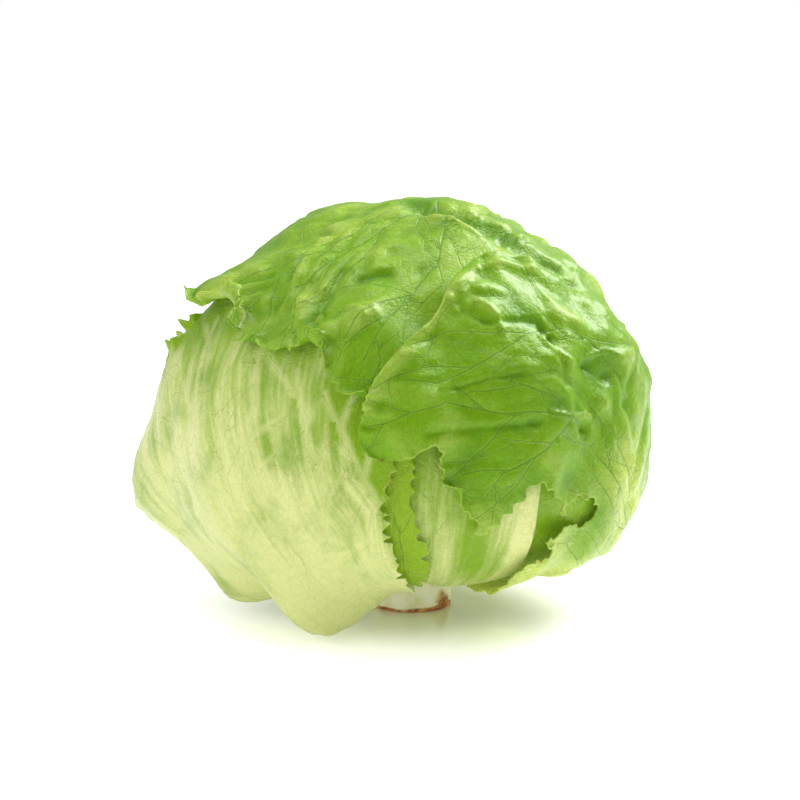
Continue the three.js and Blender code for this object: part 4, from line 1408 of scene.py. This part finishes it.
def build_stage(settings):
    scene = bpy.context.scene
    back = Vector((0, -math.cos(CAMERA_ELEVATION), math.sin(CAMERA_ELEVATION)))
    camera = bpy.data.objects.new("Camera", bpy.data.cameras.new("Camera"))
    camera.data.lens = CAMERA_LENS
    camera.data.sensor_width = 36
    camera.location = CAMERA_TARGET + back * CAMERA_DISTANCE
    camera.rotation_euler = (-back).to_track_quat("-Z", "Y").to_euler()
    scene.collection.objects.link(camera)
    scene.camera = camera
    bm = bmesh.new()
    bmesh.ops.create_grid(bm, x_segments=1, y_segments=1, size=FLOOR_HALF_SIDE)
    mesh = mesh_from(bm, "floor")
    floor = bpy.data.objects.new("floor", mesh)
    floor.location.z = FLOOR_HEIGHT
    scene.collection.objects.link(floor)
    mesh.materials.append(floor_material(settings))
    for name, place, size, power in LAMPS:
        lamp = bpy.data.lights.new(name, "AREA")
        lamp.energy = power
        lamp.shape = "DISK"
        lamp.size = size
        light = bpy.data.objects.new(name, lamp)
        light.location = place
        aim = CAMERA_TARGET - light.location
        light.rotation_euler = aim.to_track_quat("-Z", "Y").to_euler()
        scene.collection.objects.link(light)
    world = bpy.data.worlds.new("Studio")
    scene.world = world
    world.use_nodes = True
    g = Graph(world.node_tree)
    sky = world.node_tree.nodes["Background"]
    sky.inputs["Color"].default_value = (1, 1, 1, 1)
    seen = g.add("ShaderNodeLightPath").outputs["Is Camera Ray"]
    g.feed(sky.inputs["Strength"], g.ramp(seen, 0.0, 1.0, SKY_LIGHT, 1.0))
    scene.view_settings.view_transform = "Standard"


# Add-on


def shade(name, description, default):
    """A colour as it is seen on a display."""
    return bpy.props.FloatVectorProperty(
        name=name, description=description, default=default, subtype="COLOR_GAMMA", size=3, min=0, max=1,
    )


class LettuceSettings(bpy.types.PropertyGroup):
    blister_height: bpy.props.FloatProperty(
        name="Blister Height", description="How far the blade swells between its veins",
        default=0.001, min=0, max=0.003, unit="LENGTH",
    )
    tooth_depth: bpy.props.FloatProperty(
        name="Tooth Depth", description="Depth of the teeth along the margins, as a share of the usual depth",
        default=1, min=0, max=1.6, subtype="FACTOR",
    )
    ruffle_height: bpy.props.FloatProperty(
        name="Ruffle Height",
        description="Height of the waves along the margins, as a share of the usual height",
        default=1, min=0, max=1.6, subtype="FACTOR",
    )
    # Besides their own colour, the veins colours paint shade into the hollows of the blades, and the base
    # colours paint light on their raised parts and margins.
    inner_leaf_pale: shade("Inner Leaf Base", "Base and ribs of the inner leaves", (0.82, 0.88, 0.50))
    inner_leaf_green: shade("Inner Leaf Green", "Blades of the inner leaves", (0.56, 0.72, 0.14))
    inner_leaf_deep: shade("Inner Leaf Veins", "Veins and hollows of the inner leaves", (0.40, 0.60, 0.03))
    pale_leaf_pale: shade("Pale Leaf Base", "Base and ribs of the pale leaves", (0.88, 0.90, 0.60))
    pale_leaf_green: shade("Pale Leaf Green", "Streaks and margins of the pale leaves", (0.50, 0.66, 0.04))
    pale_leaf_deep: shade("Pale Leaf Veins", "Fine net of the pale leaves", (0.40, 0.60, 0.02))
    strip_leaf_pale: shade("Strip Leaf Base", "Base of the narrow leaf", (0.74, 0.84, 0.36))
    strip_leaf_green: shade("Strip Leaf Green", "Blade of the narrow leaf", (0.56, 0.70, 0.10))
    strip_leaf_deep: shade("Strip Leaf Veins", "Veins of the narrow leaf", (0.38, 0.56, 0.02))
    green_leaf_pale: shade("Green Leaf Base", "Base and raised parts of the green leaves", (0.80, 0.86, 0.42))
    green_leaf_green: shade("Green Leaf Green", "Blades of the green leaves", (0.46, 0.65, 0.02))
    green_leaf_deep: shade("Green Leaf Veins", "Veins and hollows of the green leaves", (0.32, 0.55, 0.01))
    stem_pale: shade("Stem Flesh", "Fresh flesh of the stem", (0.98, 0.97, 0.90))
    stem_fibre: shade("Stem Fibre", "Fibres in the flesh of the stem", (0.88, 0.87, 0.70))
    stem_tan: shade("Stem Tan", "Lighter browning of the cut", (0.80, 0.60, 0.36))
    stem_rust: shade("Stem Rust", "Darker browning of the cut", (0.52, 0.28, 0.13))
    floor_colour: shade("Floor", "Pale surface under the head", (0.965, 0.965, 0.965))


class LETTUCE_OT_stem(bpy.types.Operator):
    """Turns the cut stem with its browned rim"""

    bl_idname = "lettuce.stem"
    bl_label = "Cut Stem"

    def execute(self, context):
        stem_piece(context.scene.lettuce_head)
        return {"FINISHED"}


class LETTUCE_OT_heart(bpy.types.Operator):
    """Builds the heart of tightly folded leaves"""

    bl_idname = "lettuce.heart"
    bl_label = "Heart"

    def execute(self, context):
        heart_piece(context.scene.lettuce_head)
        return {"FINISHED"}


class LETTUCE_OT_inner_leaves(bpy.types.Operator):
    """Builds the leaves that lie close round the heart"""

    bl_idname = "lettuce.inner_leaves"
    bl_label = "Inner Leaves"

    def execute(self, context):
        build_leaves(INNER_LEAVES, context.scene.lettuce_head)
        return {"FINISHED"}


class LETTUCE_OT_wrapper_leaves(bpy.types.Operator):
    """Builds the large leaves that wrap the head"""

    bl_idname = "lettuce.wrapper_leaves"
    bl_label = "Wrapper Leaves"

    def execute(self, context):
        build_leaves(WRAPPER_LEAVES, context.scene.lettuce_head)
        return {"FINISHED"}


class LETTUCE_OT_stage(bpy.types.Operator):
    """Sets the camera, the soft light and the pale glossy floor"""

    bl_idname = "lettuce.stage"
    bl_label = "Stage"

    def execute(self, context):
        build_stage(context.scene.lettuce_head)
        return {"FINISHED"}


class LETTUCE_PT_panel(bpy.types.Panel):
    bl_label = "Lettuce"
    bl_idname = "LETTUCE_PT_panel"
    bl_space_type = "VIEW_3D"
    bl_region_type = "UI"
    bl_category = "Lettuce"

    def draw(self, context):
        column = self.layout.column()
        for name in LettuceSettings.__annotations__:
            column.prop(context.scene.lettuce_head, name)
        for operator in OPERATORS:
            column.operator(operator.bl_idname)


OPERATORS = (
    LETTUCE_OT_stem, LETTUCE_OT_heart, LETTUCE_OT_inner_leaves, LETTUCE_OT_wrapper_leaves, LETTUCE_OT_stage,
)
CLASSES = (LettuceSettings, *OPERATORS, LETTUCE_PT_panel)


def register():
    for cls in CLASSES:
        bpy.utils.register_class(cls)
    bpy.types.Scene.lettuce_head = bpy.props.PointerProperty(type=LettuceSettings)


def unregister():
    del bpy.types.Scene.lettuce_head
    for cls in reversed(CLASSES):
        bpy.utils.unregister_class(cls)


def write_sizes():
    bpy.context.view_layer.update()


def main():
    register()
    bpy.ops.lettuce.stem()
    bpy.ops.lettuce.heart()
    bpy.ops.lettuce.inner_leaves()
    bpy.ops.lettuce.wrapper_leaves()
    bpy.ops.lettuce.stage()
    write_sizes()


if __name__ == "__main__":
    main()
